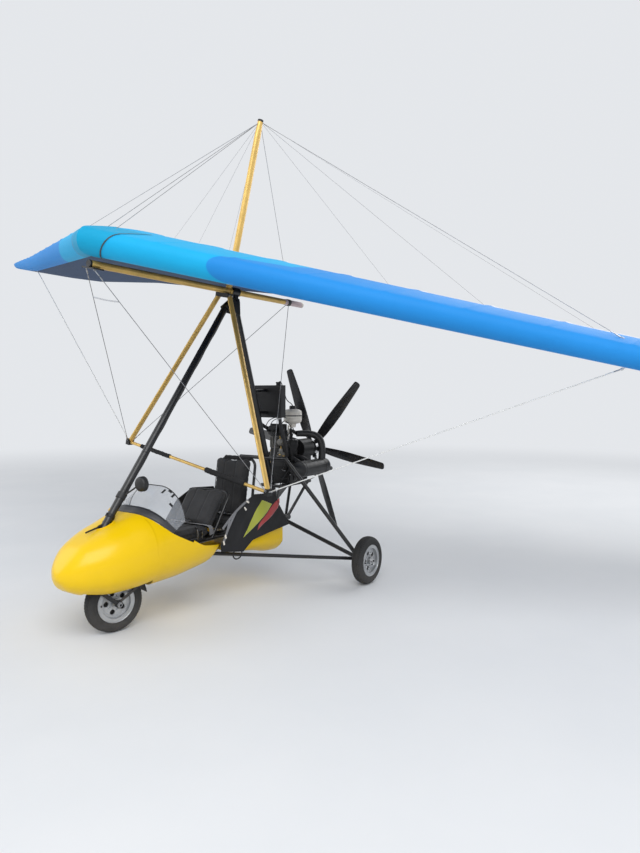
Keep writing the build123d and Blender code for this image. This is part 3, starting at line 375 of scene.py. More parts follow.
def finish(name, bm, material, smooth=35.0, body="trike", node=None, wall=None):
    """Object from a bmesh on a body, thickened if asked, and shaded smooth below an angle.

    With a node it takes the place of that piece of the construction."""
    mesh = bpy.data.meshes.new(name)
    bm.normal_update()
    bm.to_mesh(mesh)
    bm.free()
    mesh.materials.append(M[material])
    obj = bpy.data.objects.new(name, mesh)
    bpy.context.scene.collection.objects.link(obj)
    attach(obj, body)
    if wall:
        thicken(obj, *wall)
    if smooth is not None:
        obj.data.shade_smooth()
        obj.data.set_sharp_from_angle(angle=math.radians(smooth))
    if node:
        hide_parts(node)
    return obj


def circle(count, radius=1.0, first=0.0):
    """Points (x, y) round a circle."""
    turns = [2 * math.pi * (i + first) / count for i in range(count)]
    return [(radius * math.cos(turn), radius * math.sin(turn)) for turn in turns]


def arc_points(centre, radius, start, end, count):
    """Points along an arc, both ends included; angles in degrees from the first axis to the second."""
    turns = [math.radians(start + (end - start) * i / count) for i in range(count + 1)]
    return [(centre[0] + radius * math.cos(t), centre[1] + radius * math.sin(t)) for t in turns]


def rounded_outline(length, half, corner, steps, proud=0.0):
    """Points (x, y) round a slab that runs from 0 to a length, with quarter rounds at its corners."""
    outline = []
    for x, y, start in (
        (length - corner, half - corner, 0), (corner, half - corner, 90),
        (corner, corner - half, 180), (length - corner, corner - half, 270),
    ):
        outline += arc_points((x, y), corner + proud, start, start + 90, steps)
    return outline


def bridge(bm, rows, flip=False, closed=False):
    """Quads between rows of vertices; closed rows join their own ends."""
    for low, high in zip(rows, rows[1:]):
        for i in range(len(low) if closed else len(low) - 1):
            j = (i + 1) % len(low)
            quad = [low[i], low[j], high[j], high[i]]
            bm.faces.new(quad[::-1] if flip else quad)


def add_grid(bm, rows):
    bridge(bm, [[bm.verts.new(point) for point in row] for row in rows])


def add_rings(bm, rings, flip=False, cyclic=False, ends=True):
    """Wall over closed rings of points, with a face over each end or joined end to end."""
    rows = [[bm.verts.new(point) for point in ring] for ring in rings]
    bridge(bm, rows + rows[:1] if cyclic else rows, flip, closed=True)
    if ends and not cyclic:
        bm.faces.new(rows[0] if flip else rows[0][::-1])
        bm.faces.new(rows[-1][::-1] if flip else rows[-1])


def add_lathe(bm, profile, place, sides=24, ends=True):
    """Revolve (radius, height) points about a matrix's Z axis."""
    rings = []
    for radius, height in profile:
        rings.append([place @ Vector((x, y, height / 1000)) for x, y in circle(sides, radius / 1000)])
    add_rings(bm, rings, ends=ends)


def frame_between(a, b):
    """Matrix that takes the Z axis from the origin to the run from a to b."""
    return Matrix.Translation(a) @ (b - a).normalized().to_track_quat("Z", "Y").to_matrix().to_4x4()


def add_rod(bm, a, b, radius, sides=12, lip=0.0):
    length = (b - a).length * 1000
    profile = [(radius, 0), (radius, length)]
    if lip:
        profile = [(radius - lip, 0), (radius, lip), (radius, length - lip), (radius - lip, length)]
    add_lathe(bm, profile, frame_between(a, b), sides)


def add_box(bm, x, y, z, place=STAND, notch=0.0):
    """Box between two values along each axis, with a small notch along every edge if asked."""
    part = bmesh.new()
    bmesh.ops.create_cube(part, size=1.0)
    middle = [(low + high) / 2000 for low, high in (x, y, z)]
    size = [abs(high - low) / 1000 for low, high in (x, y, z)]
    part.transform(Matrix.Translation(middle) @ Matrix.Diagonal((*size, 1)))
    if notch:
        edges = part.edges[:]
        bmesh.ops.bevel(part, geom=edges, offset=notch / 1000, segments=2, affect="EDGES")
    part.transform(place)
    mesh = bpy.data.meshes.new("part")
    part.to_mesh(mesh)
    part.free()
    bm.from_mesh(mesh)
    bpy.data.meshes.remove(mesh)


def smooth_path(points, steps=8):
    """Points along a Catmull-Rom curve through given points."""
    last = len(points) - 1
    result = []
    for i in range(last):
        p0, p1, p2, p3 = points[max(i - 1, 0)], points[i], points[i + 1], points[min(i + 2, last)]
        for s in range(steps):
            t = s / steps
            bend = (2 * p0 - 5 * p1 + 4 * p2 - p3) * t * t + (3 * p1 - p0 - 3 * p2 + p3) * t ** 3
            result.append((2 * p1 + (p2 - p0) * t + bend) / 2)
    return result + [points[-1]]


def add_tube(bm, points, radius, sides=10, flat=1.0, cyclic=False):
    """Tube along points; the radius is a number or one for each point, and flat squashes it."""
    count = len(points)
    rings, side = [], None
    for i, point in enumerate(points):
        ahead = points[(i + 1) % count] if cyclic else points[min(i + 1, count - 1)]
        behind = points[i - 1] if (cyclic or i) else points[0]
        along = (ahead - behind).normalized()
        if side is None:
            side = along.cross(Vector((0, 0, 1)))
            if side.length < 1e-4:
                side = along.cross(Vector((0, 1, 0)))
        side = (side - along * side.dot(along)).normalized()
        rise = side.cross(along).normalized()
        r = (radius[i] if isinstance(radius, list) else radius) / 1000
        rings.append([point + side * x + rise * (flat * y) for x, y in circle(sides, r)])
    add_rings(bm, rings, flip=True, cyclic=cyclic)


def add_strap(bm, points, width, thick=2.2, across=(0, 1, 0)):
    """Flat webbing along points, lying across a direction."""
    path = smooth_path(points, 6)
    rings = []
    for i, point in enumerate(path):
        along = (path[min(i + 1, len(path) - 1)] - path[max(i - 1, 0)]).normalized()
        side = (Vector(across) - along * Vector(across).dot(along)).normalized()
        up = along.cross(side).normalized()
        side, up = side * (width / 2000), up * (thick / 2000)
        rings.append([point - side - up, point + side - up, point + side + up, point - side + up])
    add_rings(bm, rings)


def add_bolt(bm, at, axis, size=6.0, head=4.0):
    """Hexagon head with a washer, standing on a point along an axis."""
    place = frame_between(at, at + Vector(axis))
    add_lathe(bm, [(size * 1.25, 0), (size * 1.25, head * 0.3)], place, 16)
    add_lathe(bm, [(size, head * 0.3), (size, head), (size * 0.8, head * 1.2)], place, 6)


def add_clip(bm, centre, direction, radius, width=9.0):
    """Worm-drive hose clip: a band with its screw housing."""
    start = centre - direction * (width / 2000)
    place = frame_between(start, centre + direction)
    band = [(radius, 0), (radius + 1.2, 0.2), (radius + 1.2, width - 0.2), (radius, width)]
    add_lathe(bm, band, place, 28, ends=False)
    add_box(bm, (radius, radius + 7), (-8, 8), (1, width - 1), place)


def hoses(name, runs, radius, sides, steps):
    bm = bmesh.new()
    for run in runs:
        add_tube(bm, smooth_path([spot(*point) for point in run], steps), radius, sides)
    finish(name, bm, "hose_rubber", 50.0)


def paint(node, material):
    """New finish on a construction piece that keeps its shape."""
    mesh = NODES[node].data
    mesh.materials.clear()
    mesh.materials.append(M[material])
    for polygon in mesh.polygons:
        polygon.use_smooth = True
    mesh.set_sharp_from_angle(angle=math.radians(32))


# Camera, floor and light

def set_camera():
    data = bpy.data.cameras.new("camera")
    data.lens = CAMERA_LENS
    data.sensor_width = 36
    data.clip_end = 200
    camera = bpy.data.objects.new("camera", data)
    bpy.context.scene.collection.objects.link(camera)
    camera.location = CAMERA_AT
    camera.rotation_euler = (math.radians(90 - CAMERA_DROP), 0, math.radians(CAMERA_HEADING - 90))
    bpy.context.scene.camera = camera


def set_floor():
    """Pale floor; far from the object it shows the camera the backdrop's own colour."""
    tree, shader = new_material("floor_paint")
    place = position(tree)
    base = ramp(tree, noise(tree, place, 0.8, 6.0), (0.3, (0.74, 0.75, 0.76)), (0.7, (0.78, 0.785, 0.79)))
    feed(tree, shader, {"Base Color": base, "Roughness": 0.85})
    away = add(tree, "VectorMath", {0: place}, operation="LENGTH").outputs["Value"]
    seen = add(tree, "LightPath").outputs["Is Camera Ray"]
    share = maths(tree, "MULTIPLY", step_between(tree, away, 5.0, 17.0), seen)
    glow = add(tree, "Emission", {"Color": BACKDROP}).outputs[0]
    blend = add(tree, "MixShader", {"Fac": share, 1: shader.outputs["BSDF"], 2: glow}).outputs[0]
    feed(tree, tree.nodes["Material Output"], {"Surface": blend})
    bpy.ops.mesh.primitive_plane_add(size=160)
    floor = bpy.context.object
    floor.name = "studio_floor"
    floor.data.materials.append(M["floor_paint"])


def set_world():
    """Pale backdrop for the camera and reflections, and a plain soft sky for the light."""
    world = bpy.data.worlds.new("studio")
    world.use_nodes = True
    bpy.context.scene.world = world
    tree = world.node_tree
    tree.nodes.clear()
    path = add(tree, "LightPath").outputs
    seen = maths(tree, "MAXIMUM", path["Is Camera Ray"], path["Is Glossy Ray"])
    seen = maths(tree, "MAXIMUM", seen, path["Is Transmission Ray"])
    pale = add(tree, "Background", {"Color": BACKDROP, "Strength": 1.0}).outputs[0]
    soft = add(tree, "Background", {"Color": (0.9, 0.94, 1.0, 1), "Strength": 0.55}).outputs[0]
    blend = add(tree, "MixShader", {"Fac": seen, 1: soft, 2: pale}).outputs[0]
    add(tree, "OutputWorld", {"Surface": blend})


def add_light(name, at, to, size, power):
    data = bpy.data.lights.new(name, "AREA")
    data.size = size
    data.energy = power
    light = bpy.data.objects.new(name, data)
    bpy.context.scene.collection.objects.link(light)
    light.location = at
    light.rotation_euler = (Vector(to) - Vector(at)).to_track_quat("-Z", "Y").to_euler()


def set_stage():
    set_camera()
    set_floor()
    set_world()
    add_light("key", (7, 6, 9), (0, 0, 1), 9, 950)
    add_light("fill", (6, -8, 6), (0, 0, 1), 8, 260)
    add_light("back", (-9, 2, 7), (0, 0, 1), 8, 320)
    bpy.context.scene.view_settings.view_transform = "Standard"


# Sail: the same sections as the construction's, as one smooth skin for each side, in the wing's frame

SAIL_NOSE = 1.549
SAIL_SWEEP = 1.0 / math.tan(math.radians(63.5))
SPAN = 5.1
SAIL_TABLE = [
    # span, chord, underside, thickness, trailing edge height
    (0.0, 2.452, 0.052, 0.246, 0.086),
    (3.2, 1.652, -0.094, 0.202, 0.012),
    (4.3, 1.332, -0.106, 0.158, -0.018),
    (4.9, 1.132, -0.104, 0.120, -0.032),
    (SPAN, 1.002, -0.094, 0.084, -0.038),
]
TIP_ROUND = 0.07
BATTENS = [0.0, 0.45, 0.9, 1.35, 1.8, 2.25, 2.7, 3.15, 3.55, 3.95, 4.3, 4.62, 4.88]
BATTEN_RIDGE = 0.0045
NOSE_INDEX = 38
CAP_HALF = 0.175
CAP_BELOW = -0.185
CAP_BACK = 0.36
LUFF_SPANS = (1.15, 2.05, 2.95)
LUFF_SHARE = 0.955


def sail_values(span):
    for low, high in zip(SAIL_TABLE, SAIL_TABLE[1:]):
        if span <= high[0]:
            share = (span - low[0]) / (high[0] - low[0])
            return [a + share * (b - a) for a, b in zip(low[1:], high[1:])]
    return SAIL_TABLE[-1][1:]


def sail_section(span):
    """Outer skin at a span: points (x, z) from the tail over the top, round the nose and back below."""
    chord, low, thick, tail = sail_values(span)
    nose = SAIL_NOSE - span * SAIL_SWEEP
    chin, nose_arc = 0.42 * thick, 0.30 * thick
    tip_z, top, crest = low + chin, low + thick, nose - 0.30 * chord
    run, rise = nose - crest, top - tip_z
    bend = 0.2
    for _ in range(12):
        reach = run - nose_arc + nose_arc * math.sin(bend)
        bend = 2 * math.atan((rise - nose_arc * math.cos(bend)) / reach)
    brow = (run - nose_arc + nose_arc * math.sin(bend)) / math.sin(bend)
    bend = math.degrees(bend)
    back_run, back_drop = 0.7 * chord, top - tail
    back = (back_run ** 2 + back_drop ** 2) / (2 * back_drop)
    points = arc_points((crest, top - back), back, math.degrees(math.acos(-back_run / back)), 90, 22)
    points += arc_points((crest, top - brow), brow, 90, 90 - bend, 10)[1:]
    points += arc_points((nose - nose_arc, tip_z), nose_arc, 90 - bend, 0, 6)[1:]
    points += arc_points((nose - chin, tip_z), chin, 0, -90, 8)[1:]
    knee_x, seam_x = nose - 0.6 * chord, nose - 0.7 * chord
    points += [(nose - chin + (knee_x - nose + chin) * i / 8, low) for i in range(1, 9)]
    skin = back - 0.007
    seam_turn, end_turn = (math.acos((x - crest) / skin) for x in (seam_x, nose - chord))
    seam_z = top - back + skin * math.sin(seam_turn)
    points += [(knee_x + (seam_x - knee_x) * i / 3, low + (seam_z - low) * i / 3) for i in (1, 2)]
    under = arc_points((crest, top - back), skin, math.degrees(seam_turn), math.degrees(end_turn), 6)
    return points + under


def batten_lift(span, around, chord):
    """Height of the ridge that the nearest batten presses into the top skin."""
    if not 0.05 < around < chord * 0.97:
        return 0.0
    nearest = min(abs(span - b) for b in BATTENS)
    return BATTEN_RIDGE * math.exp(-(nearest / 0.016) ** 2)


def sail_stations():
    """Span stations: close together at each batten and the tip, coarser between."""
    stations = [max(0.0, b + off) for b in BATTENS for off in (-0.05, -0.03, -0.016, 0.0, 0.016, 0.03, 0.05)]
    stations += [i * SPAN / 52 for i in range(52)]
    stations += [SPAN - TIP_ROUND + TIP_ROUND * share for share in (0.35, 0.65, 0.85, 0.96, 1.0)]
    return sorted({round(station, 4) for station in stations})


def running_lengths(points):
    lengths = [0.0]
    for a, b in zip(points, points[1:]):
        lengths.append(lengths[-1] + math.hypot(b[0] - a[0], b[1] - a[1]))
    return lengths


def around_lengths(points):
    """Distance along the skin from the nose, positive over the top and negative below."""
    lengths = running_lengths(points)
    return [lengths[NOSE_INDEX] - length for length in lengths]


def sail_skin(side):
    """Grid of one side's skin, closed at the tip; the attribute cloth holds (span, distance round)."""
    bm = bmesh.new()
    layer = bm.verts.layers.float_vector.new("cloth")
    rows = []
    for span in sail_stations():
        points, chord = sail_section(span), sail_values(span)[0]
        share = max(0.0, (span - SPAN + TIP_ROUND) / TIP_ROUND)
        squeeze = math.sqrt(1 - 0.93 * share * share)
        middle = sum(z for _, z in points) / len(points)
        row = []
        for (x, z), around in zip(points, around_lengths(points)):
            z = middle + (z - middle) * squeeze + batten_lift(span, around, chord)
            row.append(bm.verts.new(wing(x, side * span, z)))
            row[-1][layer] = (side * span, around, 0.0)
        rows.append(row)
    bridge(bm, rows, flip=side > 0)
    half = len(rows[-1]) // 2
    upper, lower = rows[-1][:half], rows[-1][::-1][:half]
    bridge(bm, [upper, lower], flip=side > 0)
    return bm


def skin_point(side, span, around, lift):
    """Point on the skin at a span and a distance round from the nose, lifted off it."""
    points = sail_section(span)
    lengths = around_lengths(points)
    for i, (a, b) in enumerate(zip(points, points[1:])):
        if lengths[i] >= around >= lengths[i + 1]:
            share = (lengths[i] - around) / max(1e-9, lengths[i] - lengths[i + 1])
            dx, dz = b[0] - a[0], b[1] - a[1]
            norm = math.hypot(dx, dz)
            z = a[1] + share * dz + batten_lift(span, around, sail_values(span)[0])
            return wing(a[0] + share * dx - dz / norm * lift, side * span, z + dx / norm * lift)
    raise ValueError("no such place on the skin")


def cap_reach(side, around):
    """Half width of the nose cap, whose seams lean outwards over the top."""
    lean = 0.55 if side > 0 else 0.12
    return max(0.09, CAP_HALF + lean * min(around, 0.08))


def cap_rows(side):
    """Rows of half the nose cap, 3.5 mm proud of the skin, with its edge turned down to it."""
    rows = []
    for i in range(29):
        around = CAP_BELOW + (CAP_BACK - CAP_BELOW) * i / 28
        lifts = [0.0035 if k < 8 and 0 < i < 28 else 0.0005 for k in range(9)]
        reach = cap_reach(side, around)
        rows.append([skin_point(side, reach * k / 8, around, lift) for k, lift in enumerate(lifts)])
    return rows


def make_sail():
    for side, name in SIDES:
        node = "sail_" + name
        skin = finish(node + "_cloth", sail_skin(side), "sail_cloth", 40.0, "wing", node)
    bm = bmesh.new()
    for side, _ in SIDES:
        add_grid(bm, cap_rows(side))
    bmesh.ops.remove_doubles(bm, verts=bm.verts, dist=0.0005)
    bmesh.ops.recalc_face_normals(bm, faces=bm.faces)
    cap = finish("nose_cap_cloth_piece", bm, "nose_cap_cloth", 40.0, "wing", "nose_cap")


# Pod and fairing: smooth half shells, mirrored, with the construction's openings

POD_TABLE = metres(
    # station, half width, floor, crown
    (412, 0, 458, 458), (410, 20, 444, 473), (405, 42, 429, 490), (395, 68, 411, 512), (380, 97, 388, 537),
    (364, 120, 369, 560), (320, 164, 341, 609), (266, 202, 319, 650), (130, 267, 291, 708),
    (-10, 300, 281, 752), (-150, 322, 276, 800), (-300, 331, 278, 818), (-450, 335, 283, 828),
    (-620, 334, 303, 830), (-800, 330, 330, 830),
)
RIM_TABLE = metres(
    # station, height
    (-156, 802), (-200, 760), (-250, 709), (-310, 658), (-425, 594), (-500, 557), (-556, 532), (-650, 508),
    (-770, 489),
)
FAIRING_TABLE = metres(
    # station, half width, floor, crown
    (-1010, 318, 374, 860), (-1250, 322, 338, 840), (-1450, 310, 292, 820), (-1700, 286, 272, 800),
)
RIM_FRONT, RIM_TOP = -0.156, 0.802
POD_FRONT, POD_BACK = 0.412, -0.770
LIP_BACK, LIP_FRONT = -0.600, -0.492
HEEL, FLOOR_CUT = -0.740, -0.640
SHELL_THICK = 6.0
SLOT_MIDDLE, SLOT_REACH, SLOT_HALF = 0.027, 0.064, 0.037
SWING_RADIUS, SWING_FRONT, SWING_FRONT_HALF = 0.495, 0.286, 0.112
SWING_CORNER, SWING_CORNER_HALF = -0.176, 0.252
SWING_TOP = 0.45
FAIRING_TOP = 0.4995
FAIRING_HEEL = -1.566
FAIRING_BACK = -1.686
BREAK = 0.00002


def table_at(table, station):
    """Values of a table at a station, smooth between its rows; stations fall down the table."""
    if station >= table[0][0]:
        return table[0][1:]
    if station <= table[-1][0]:
        return table[-1][1:]
    i = next(i for i in range(len(table) - 1) if station >= table[i + 1][0])
    before, low, high, after = table[max(i - 1, 0)], table[i], table[i + 1], table[min(i + 2, len(table) - 1)]
    gap = high[0] - low[0]
    t = (station - low[0]) / gap
    fall = 2 * t ** 3 - 3 * t * t + 1
    values = []
    for k in range(1, len(low)):
        middle = (high[k] - low[k]) / gap
        slope_low = (high[k] - before[k]) / (high[0] - before[0]) if before is not low else middle
        slope_high = (after[k] - low[k]) / (after[0] - low[0]) if after is not high else middle
        bends = (t ** 3 - 2 * t * t + t) * slope_low + (t ** 3 - t * t) * slope_high
        values.append(fall * low[k] + (1 - fall) * high[k] + gap * bends)
    return values


def pod_crown(station):
    return table_at(POD_TABLE, station)[2]


def rim_height(station):
    return table_at(RIM_TABLE, station)[0]


def half_section(table, station, corner):
    """Port half of a rounded section: points (y, z) from the crown's middle to the floor's middle."""
    half, low, high = table_at(table, station)
    radius = corner * min(2 * half, high - low)
    flat = half - radius
    points = [(max(0.0, flat) * i / 12, high) for i in range(12)]
    points += arc_points((flat, high - radius), radius, 90, 0, 24)
    points += arc_points((flat, low + radius), radius, 0, -90, 24)
    return points + [(flat * (1 - i / 12), low) for i in range(1, 13)]


def kept_run(points, is_open):
    """Longest run of the section that is outside the openings, with its ends found by halving."""
    runs = [[]]
    for i, point in enumerate(points):
        if not is_open(*point):
            runs[-1].append(i)
        elif runs[-1]:
            runs.append([])
    best = max(runs, key=len)
    if not best:
        return []
    first, last = best[0], best[-1]
    run = points[first:last + 1]
    if first > 0:
        run.insert(0, edge_point(points[first - 1], points[first], is_open))
    if last < len(points) - 1:
        run.append(edge_point(points[last + 1], points[last], is_open))
    return run


def edge_point(outside, inside, is_open):
    for _ in range(14):
        middle = ((outside[0] + inside[0]) / 2, (outside[1] + inside[1]) / 2)
        if is_open(*middle):
            outside = middle
        else:
            inside = middle
    return inside


def resample(points, count):
    lengths = running_lengths(points)
    result, k = [], 0
    for i in range(count):
        want = lengths[-1] * i / (count - 1)
        while k < len(points) - 2 and lengths[k + 1] < want:
            k += 1
        share = min(1.0, max(0.0, (want - lengths[k]) / max(1e-9, lengths[k + 1] - lengths[k])))
        result.append(tuple(a + (b - a) * share for a, b in zip(points[k], points[k + 1])))
    return result


def make_shell(name, table, corner, stations, is_open, node):
    """Both sides of a shell; stations closer than a tenth of a millimetre break the grid."""
    bm = bmesh.new()
    for side, _ in SIDES:
        last, last_station = None, None
        for station in stations:
            run = kept_run(half_section(table, station, corner), lambda y, z: is_open(station, y, z))
            if len(run) < 2:
                last = None
                continue
            row = [bm.verts.new(trike(station, side * y, z)) for y, z in resample(run, 34)]
            if last is not None and abs(station - last_station) > 1e-4:
                bridge(bm, [last, row], flip=side < 0)
            last, last_station = row, station
    bmesh.ops.remove_doubles(bm, verts=bm.verts, dist=0.00004)
    wall = (SHELL_THICK, -1.0)
    finish(name, bm, "pod_gelcoat", 38.0, node=node, wall=wall)


def pod_open(station, y, z):
    """Whether a place is in the strut's slot, above the rim, over the nose wheel or behind the heel."""
    off = (station - SLOT_MIDDLE) / SLOT_REACH
    if abs(off) < 1 and z > pod_crown(station) - 0.1:
        return y < SLOT_HALF * math.sqrt(1 - off ** 2)
    if station < RIM_FRONT and z > rim_height(station) + rim_lip(station):
        return True
    if z < SWING_TOP and HEAD_X - SWING_RADIUS < station < SWING_FRONT and y < swing_half(station):
        return True
    if station < HEEL:
        return z < 0.38 + (HEEL - station) * 3.633
    return station < FLOOR_CUT and z < floor_cut(station)


def swing_half(station):
    """Half width of the opening that the steered wheel swings in."""
    if station > SWING_CORNER:
        share = (SWING_FRONT - station) / (SWING_FRONT - SWING_CORNER)
        return SWING_FRONT_HALF + share * (SWING_CORNER_HALF - SWING_FRONT_HALF)
    return math.sqrt(max(0.0, SWING_RADIUS ** 2 - (HEAD_X - station) ** 2))


def rim_lip(station):
    """Small raised tab on the rim, steep at its front and running out behind."""
    if LIP_BACK < station < LIP_FRONT:
        return 0.016 * min(1.0, (station - LIP_BACK) / 0.09) * min(1.0, (LIP_FRONT - station) / 0.006)
    return 0.0


def floor_cut(station):
    return 0.25 + (FLOOR_CUT - station) * 1.3


def floor_break():
    """Station where the slanted rear edge leaves the floor."""
    low, high = HEEL, FLOOR_CUT
    for _ in range(30):
        middle = (low + high) / 2
        if floor_cut(middle) > table_at(POD_TABLE, middle)[1]:
            low = middle
        else:
            high = middle
    return low


def pod_stations():
    """Stations down the pod, closer at its nose and at the ends of its openings."""
    stations = [0.4119, 0.4112, 0.410, 0.408, 0.405, 0.401, 0.395, 0.388, 0.380, 0.372, 0.364]
    stations += [0.35 - 0.0155 * i for i in range(73)]
    for off in (0, 0.0005, 0.002, 0.005, 0.01):
        stations += [SLOT_MIDDLE + SLOT_REACH - off, SLOT_MIDDLE - SLOT_REACH + off]
    stations += [HEAD_X - SWING_RADIUS + off for off in (0, 0.0004, 0.0015, 0.004, 0.008, 0.014, 0.022)]
    stations += [SWING_CORNER, LIP_FRONT, -0.4935, -0.495, -0.498, LIP_BACK, POD_BACK]
    for edge in (SWING_FRONT, RIM_FRONT, floor_break()):
        stations += [edge + BREAK, edge - BREAK]
    return sorted({round(s, 6) for s in stations if POD_BACK <= s <= POD_FRONT}, reverse=True)


def fairing_open(station, _, z):
    return z > FAIRING_TOP or (station < FAIRING_HEEL and z < 0.296 + (FAIRING_HEEL - station) * 1.641)


def make_shells():
    make_shell("pod_shell", POD_TABLE, 0.46, pod_stations(), pod_open, "front_pod")
    stations = [-1.01 - 0.018 * i for i in range(38)]
    stations += [FAIRING_HEEL - BREAK, FAIRING_HEEL + BREAK, FAIRING_BACK]
    stations = sorted({round(s, 6) for s in stations if s >= FAIRING_BACK}, reverse=True)
    make_shell("fairing_shell", FAIRING_TABLE, 0.2, stations, fairing_open, "rear_fairing")
    ring = []
    for x, y in circle(40):
        station = SLOT_MIDDLE + (SLOT_REACH + 0.002) * x
        ring.append(trike(station, (SLOT_HALF + 0.002) * y, pod_crown(station) + 0.001))
    bm = bmesh.new()
    add_tube(bm, ring, 5.0, 8, cyclic=True)
    finish("strut_slot_lip", bm, "pod_gelcoat", 60.0)


# Screen: the construction's raked arch, thin and clear, with a dark seal along its foot

SCREEN_BACK = -0.430
SCREEN_HALF, SCREEN_FLAT, SCREEN_LOW, SCREEN_HIGH = 0.312, 0.050, 0.728, 0.965
SCREEN_RAKE = (0.270, -0.165)
SCREEN_ROWS = 14
SCREEN_MARKS = [
    # place along the arch, first and last row down the rake, width: strips of black tape near the top
    (12, 0, 2, 1), (14, 0, 1, 2), (17, 1, 3, 1), (9, 4, 5, 2), (31, 0, 2, 1), (29, 0, 1, 1),
]


def arch_points(count):
    """Points (y, z) of the arch from the port foot over the crown to the starboard foot."""
    drop, run = SCREEN_HIGH - SCREEN_LOW, SCREEN_HALF - SCREEN_FLAT
    radius = (run * run + drop * drop) / (2 * drop)
    foot = 90 - math.degrees(math.asin(min(1.0, run / radius)))
    port = arc_points((SCREEN_FLAT, SCREEN_HIGH - radius), radius, foot, 90, count)
    crown = [(SCREEN_FLAT * (1 - 2 * i / 6), SCREEN_HIGH) for i in range(1, 6)]
    return port + crown + [(-y, z) for y, z in reversed(port)]


def screen_reach(z):
    """How far along the rake a point of the arch runs before it meets the rim."""
    low, high = 0.0, 1.3
    for _ in range(24):
        middle = (low + high) / 2
        station = SCREEN_BACK + SCREEN_RAKE[0] * middle
        limit = rim_height(station) if station < RIM_FRONT else RIM_TOP
        if station > -0.150 or z + SCREEN_RAKE[1] * middle < limit + 0.002:
            high = middle
        else:
            low = middle
    return low


def raised(points, lift):
    return [point + Vector((0, 0, lift)) for point in points]


def make_screen():
    rows = []
    for y, z in arch_points(22):
        reach, row = screen_reach(z), []
        for i in range(SCREEN_ROWS + 1):
            u = reach * i / SCREEN_ROWS
            bulge = 0.006 * math.sin(math.pi * i / SCREEN_ROWS)
            x, up = SCREEN_BACK + SCREEN_RAKE[0] * u, z + SCREEN_RAKE[1] * u + bulge
            row.append(trike(x, y * (1 + bulge), up))
        rows.append(row)
    clear, seal, marks, rim = (bmesh.new() for _ in range(4))
    add_grid(clear, rows)
    finish("screen_sheet", clear, "clear_sheet", 40.0, node="windscreen", wall=(3.0, 0.0))
    add_grid(seal, [raised(row[-4:], 0.0015) for row in rows])
    finish("screen_seal", seal, "screen_seal", 180.0, wall=(4.0, 0.0))
    for column, row_from, row_to, wide in SCREEN_MARKS:
        for left, right in zip(rows[column:column + wide], rows[column + 1:]):
            corners = [left[row_from], right[row_from], right[row_to], left[row_to]]
            marks.faces.new([marks.verts.new(point) for point in raised(corners, 0.0022)])
    finish("screen_tape", marks, "seat_trim", None, wall=(1.2, 0.0))
    add_tube(rim, [row[0] for row in rows], 4.0, 8)
    finish("screen_edge_bead", rim, "black_plastic", 60.0)


# Wheels: tyres with a treaded band, rims dressed with beads, bolts, nuts and a valve

WHEELS = [
    # name, centre, side that the web faces
    ("nose", STEER @ trike(0, 0, TYRE_RADIUS), 1),
    ("port", trike(-WHEELBASE, HALF_TRACK, TYRE_RADIUS), 1),
    ("starboard", trike(-WHEELBASE, -HALF_TRACK, TYRE_RADIUS), -1),
]
TYRE_PROFILE = [
    # radius, half width: from the bead up the sidewall to the edge of the middle groove
    (123.5, 35.5), (134.0, 36.5), (137.5, 43.2), (145.0, 47.0), (154.0, 49.0), (164.0, 50.0), (164.5, 50.7),
    (166.8, 50.7), (167.3, 49.9), (176.0, 48.4), (185.0, 45.5), (191.5, 41.2), (196.0, 36.5), (199.0, 30.0),
    (196.8, 28.5), (196.8, 26.2), (200.8, 24.5), (203.0, 18.0), (199.5, 16.5), (199.5, 14.0), (204.2, 12.5),
    (205.0, 4.5), (201.2, 3.2),
]
GROOVE_RADIUS = 201.2
TREAD_BLOCKS = 60
TREAD_FROM = 195.0
TREAD_CUT = 3.2
WEB = 20.0
RIM_LIP = 123.0
WINDOWS = 5
WINDOW_RING, WINDOW_RADIUS = 66.3, 19.2
BOLT_RING = 0.052
WASHER = [(18.0, 0), (18.0, 2.8), (10.2, 3.0)]
VALVE = [(5.2, 0), (5.0, 12), (3.6, 15), (3.6, 24), (4.6, 24.5), (4.6, 33), (3, 34.5)]
BRAKE_DISC = [(33.5, -6), (100, -6), (100, -1), (96, 1), (33.5, 1)]
PEG_X, PEG_Z = -0.014, 0.4117
PEG_RIBS = 9


def axle_place(centre, side, steered):
    """Matrix at a wheel's centre, whose Z axis is its axle, pointing to one side."""
    turn = STEER.to_3x3().to_4x4() if steered else Matrix.Identity(4)
    return Matrix.Translation(centre) @ turn @ turned(-90 * side, "X")


def make_tyre(name, body, place):
    """Ribbed tyre: the ribs outside the middle are cut across into blocks."""
    profile = TYRE_PROFILE + [(GROOVE_RADIUS, 0.0)] + [(r, -w) for r, w in reversed(TYRE_PROFILE)]
    rings = []
    for i, (x, y) in enumerate(circle(TREAD_BLOCKS * 3)):
        ring = []
        for radius, width in profile:
            cut = i % 3 == 0 and radius > TREAD_FROM and 16 < abs(width) < 37
            r = (radius - (TREAD_CUT if cut else 0.0)) / 1000
            ring.append(place @ Vector((r * x, r * y, width / 1000)))
        rings.append(ring)
    bm = bmesh.new()
    add_rings(bm, rings, flip=True, cyclic=True)
    bmesh.ops.recalc_face_normals(bm, faces=bm.faces)
    finish(name + "_tyre_tread", bm, "tyre_rubber", 34.0, body, name + "_tyre")


def add_hoop(bm, place, radius, thick, count, sides, height, centre=(0.0, 0.0)):
    """Thin ring across a matrix's Z axis."""
    points = [(centre[0] + x, centre[1] + y, height) for x, y in circle(count, radius)]
    add_tube(bm, [place @ (Vector(point) / 1000) for point in points], thick, sides, cyclic=True)


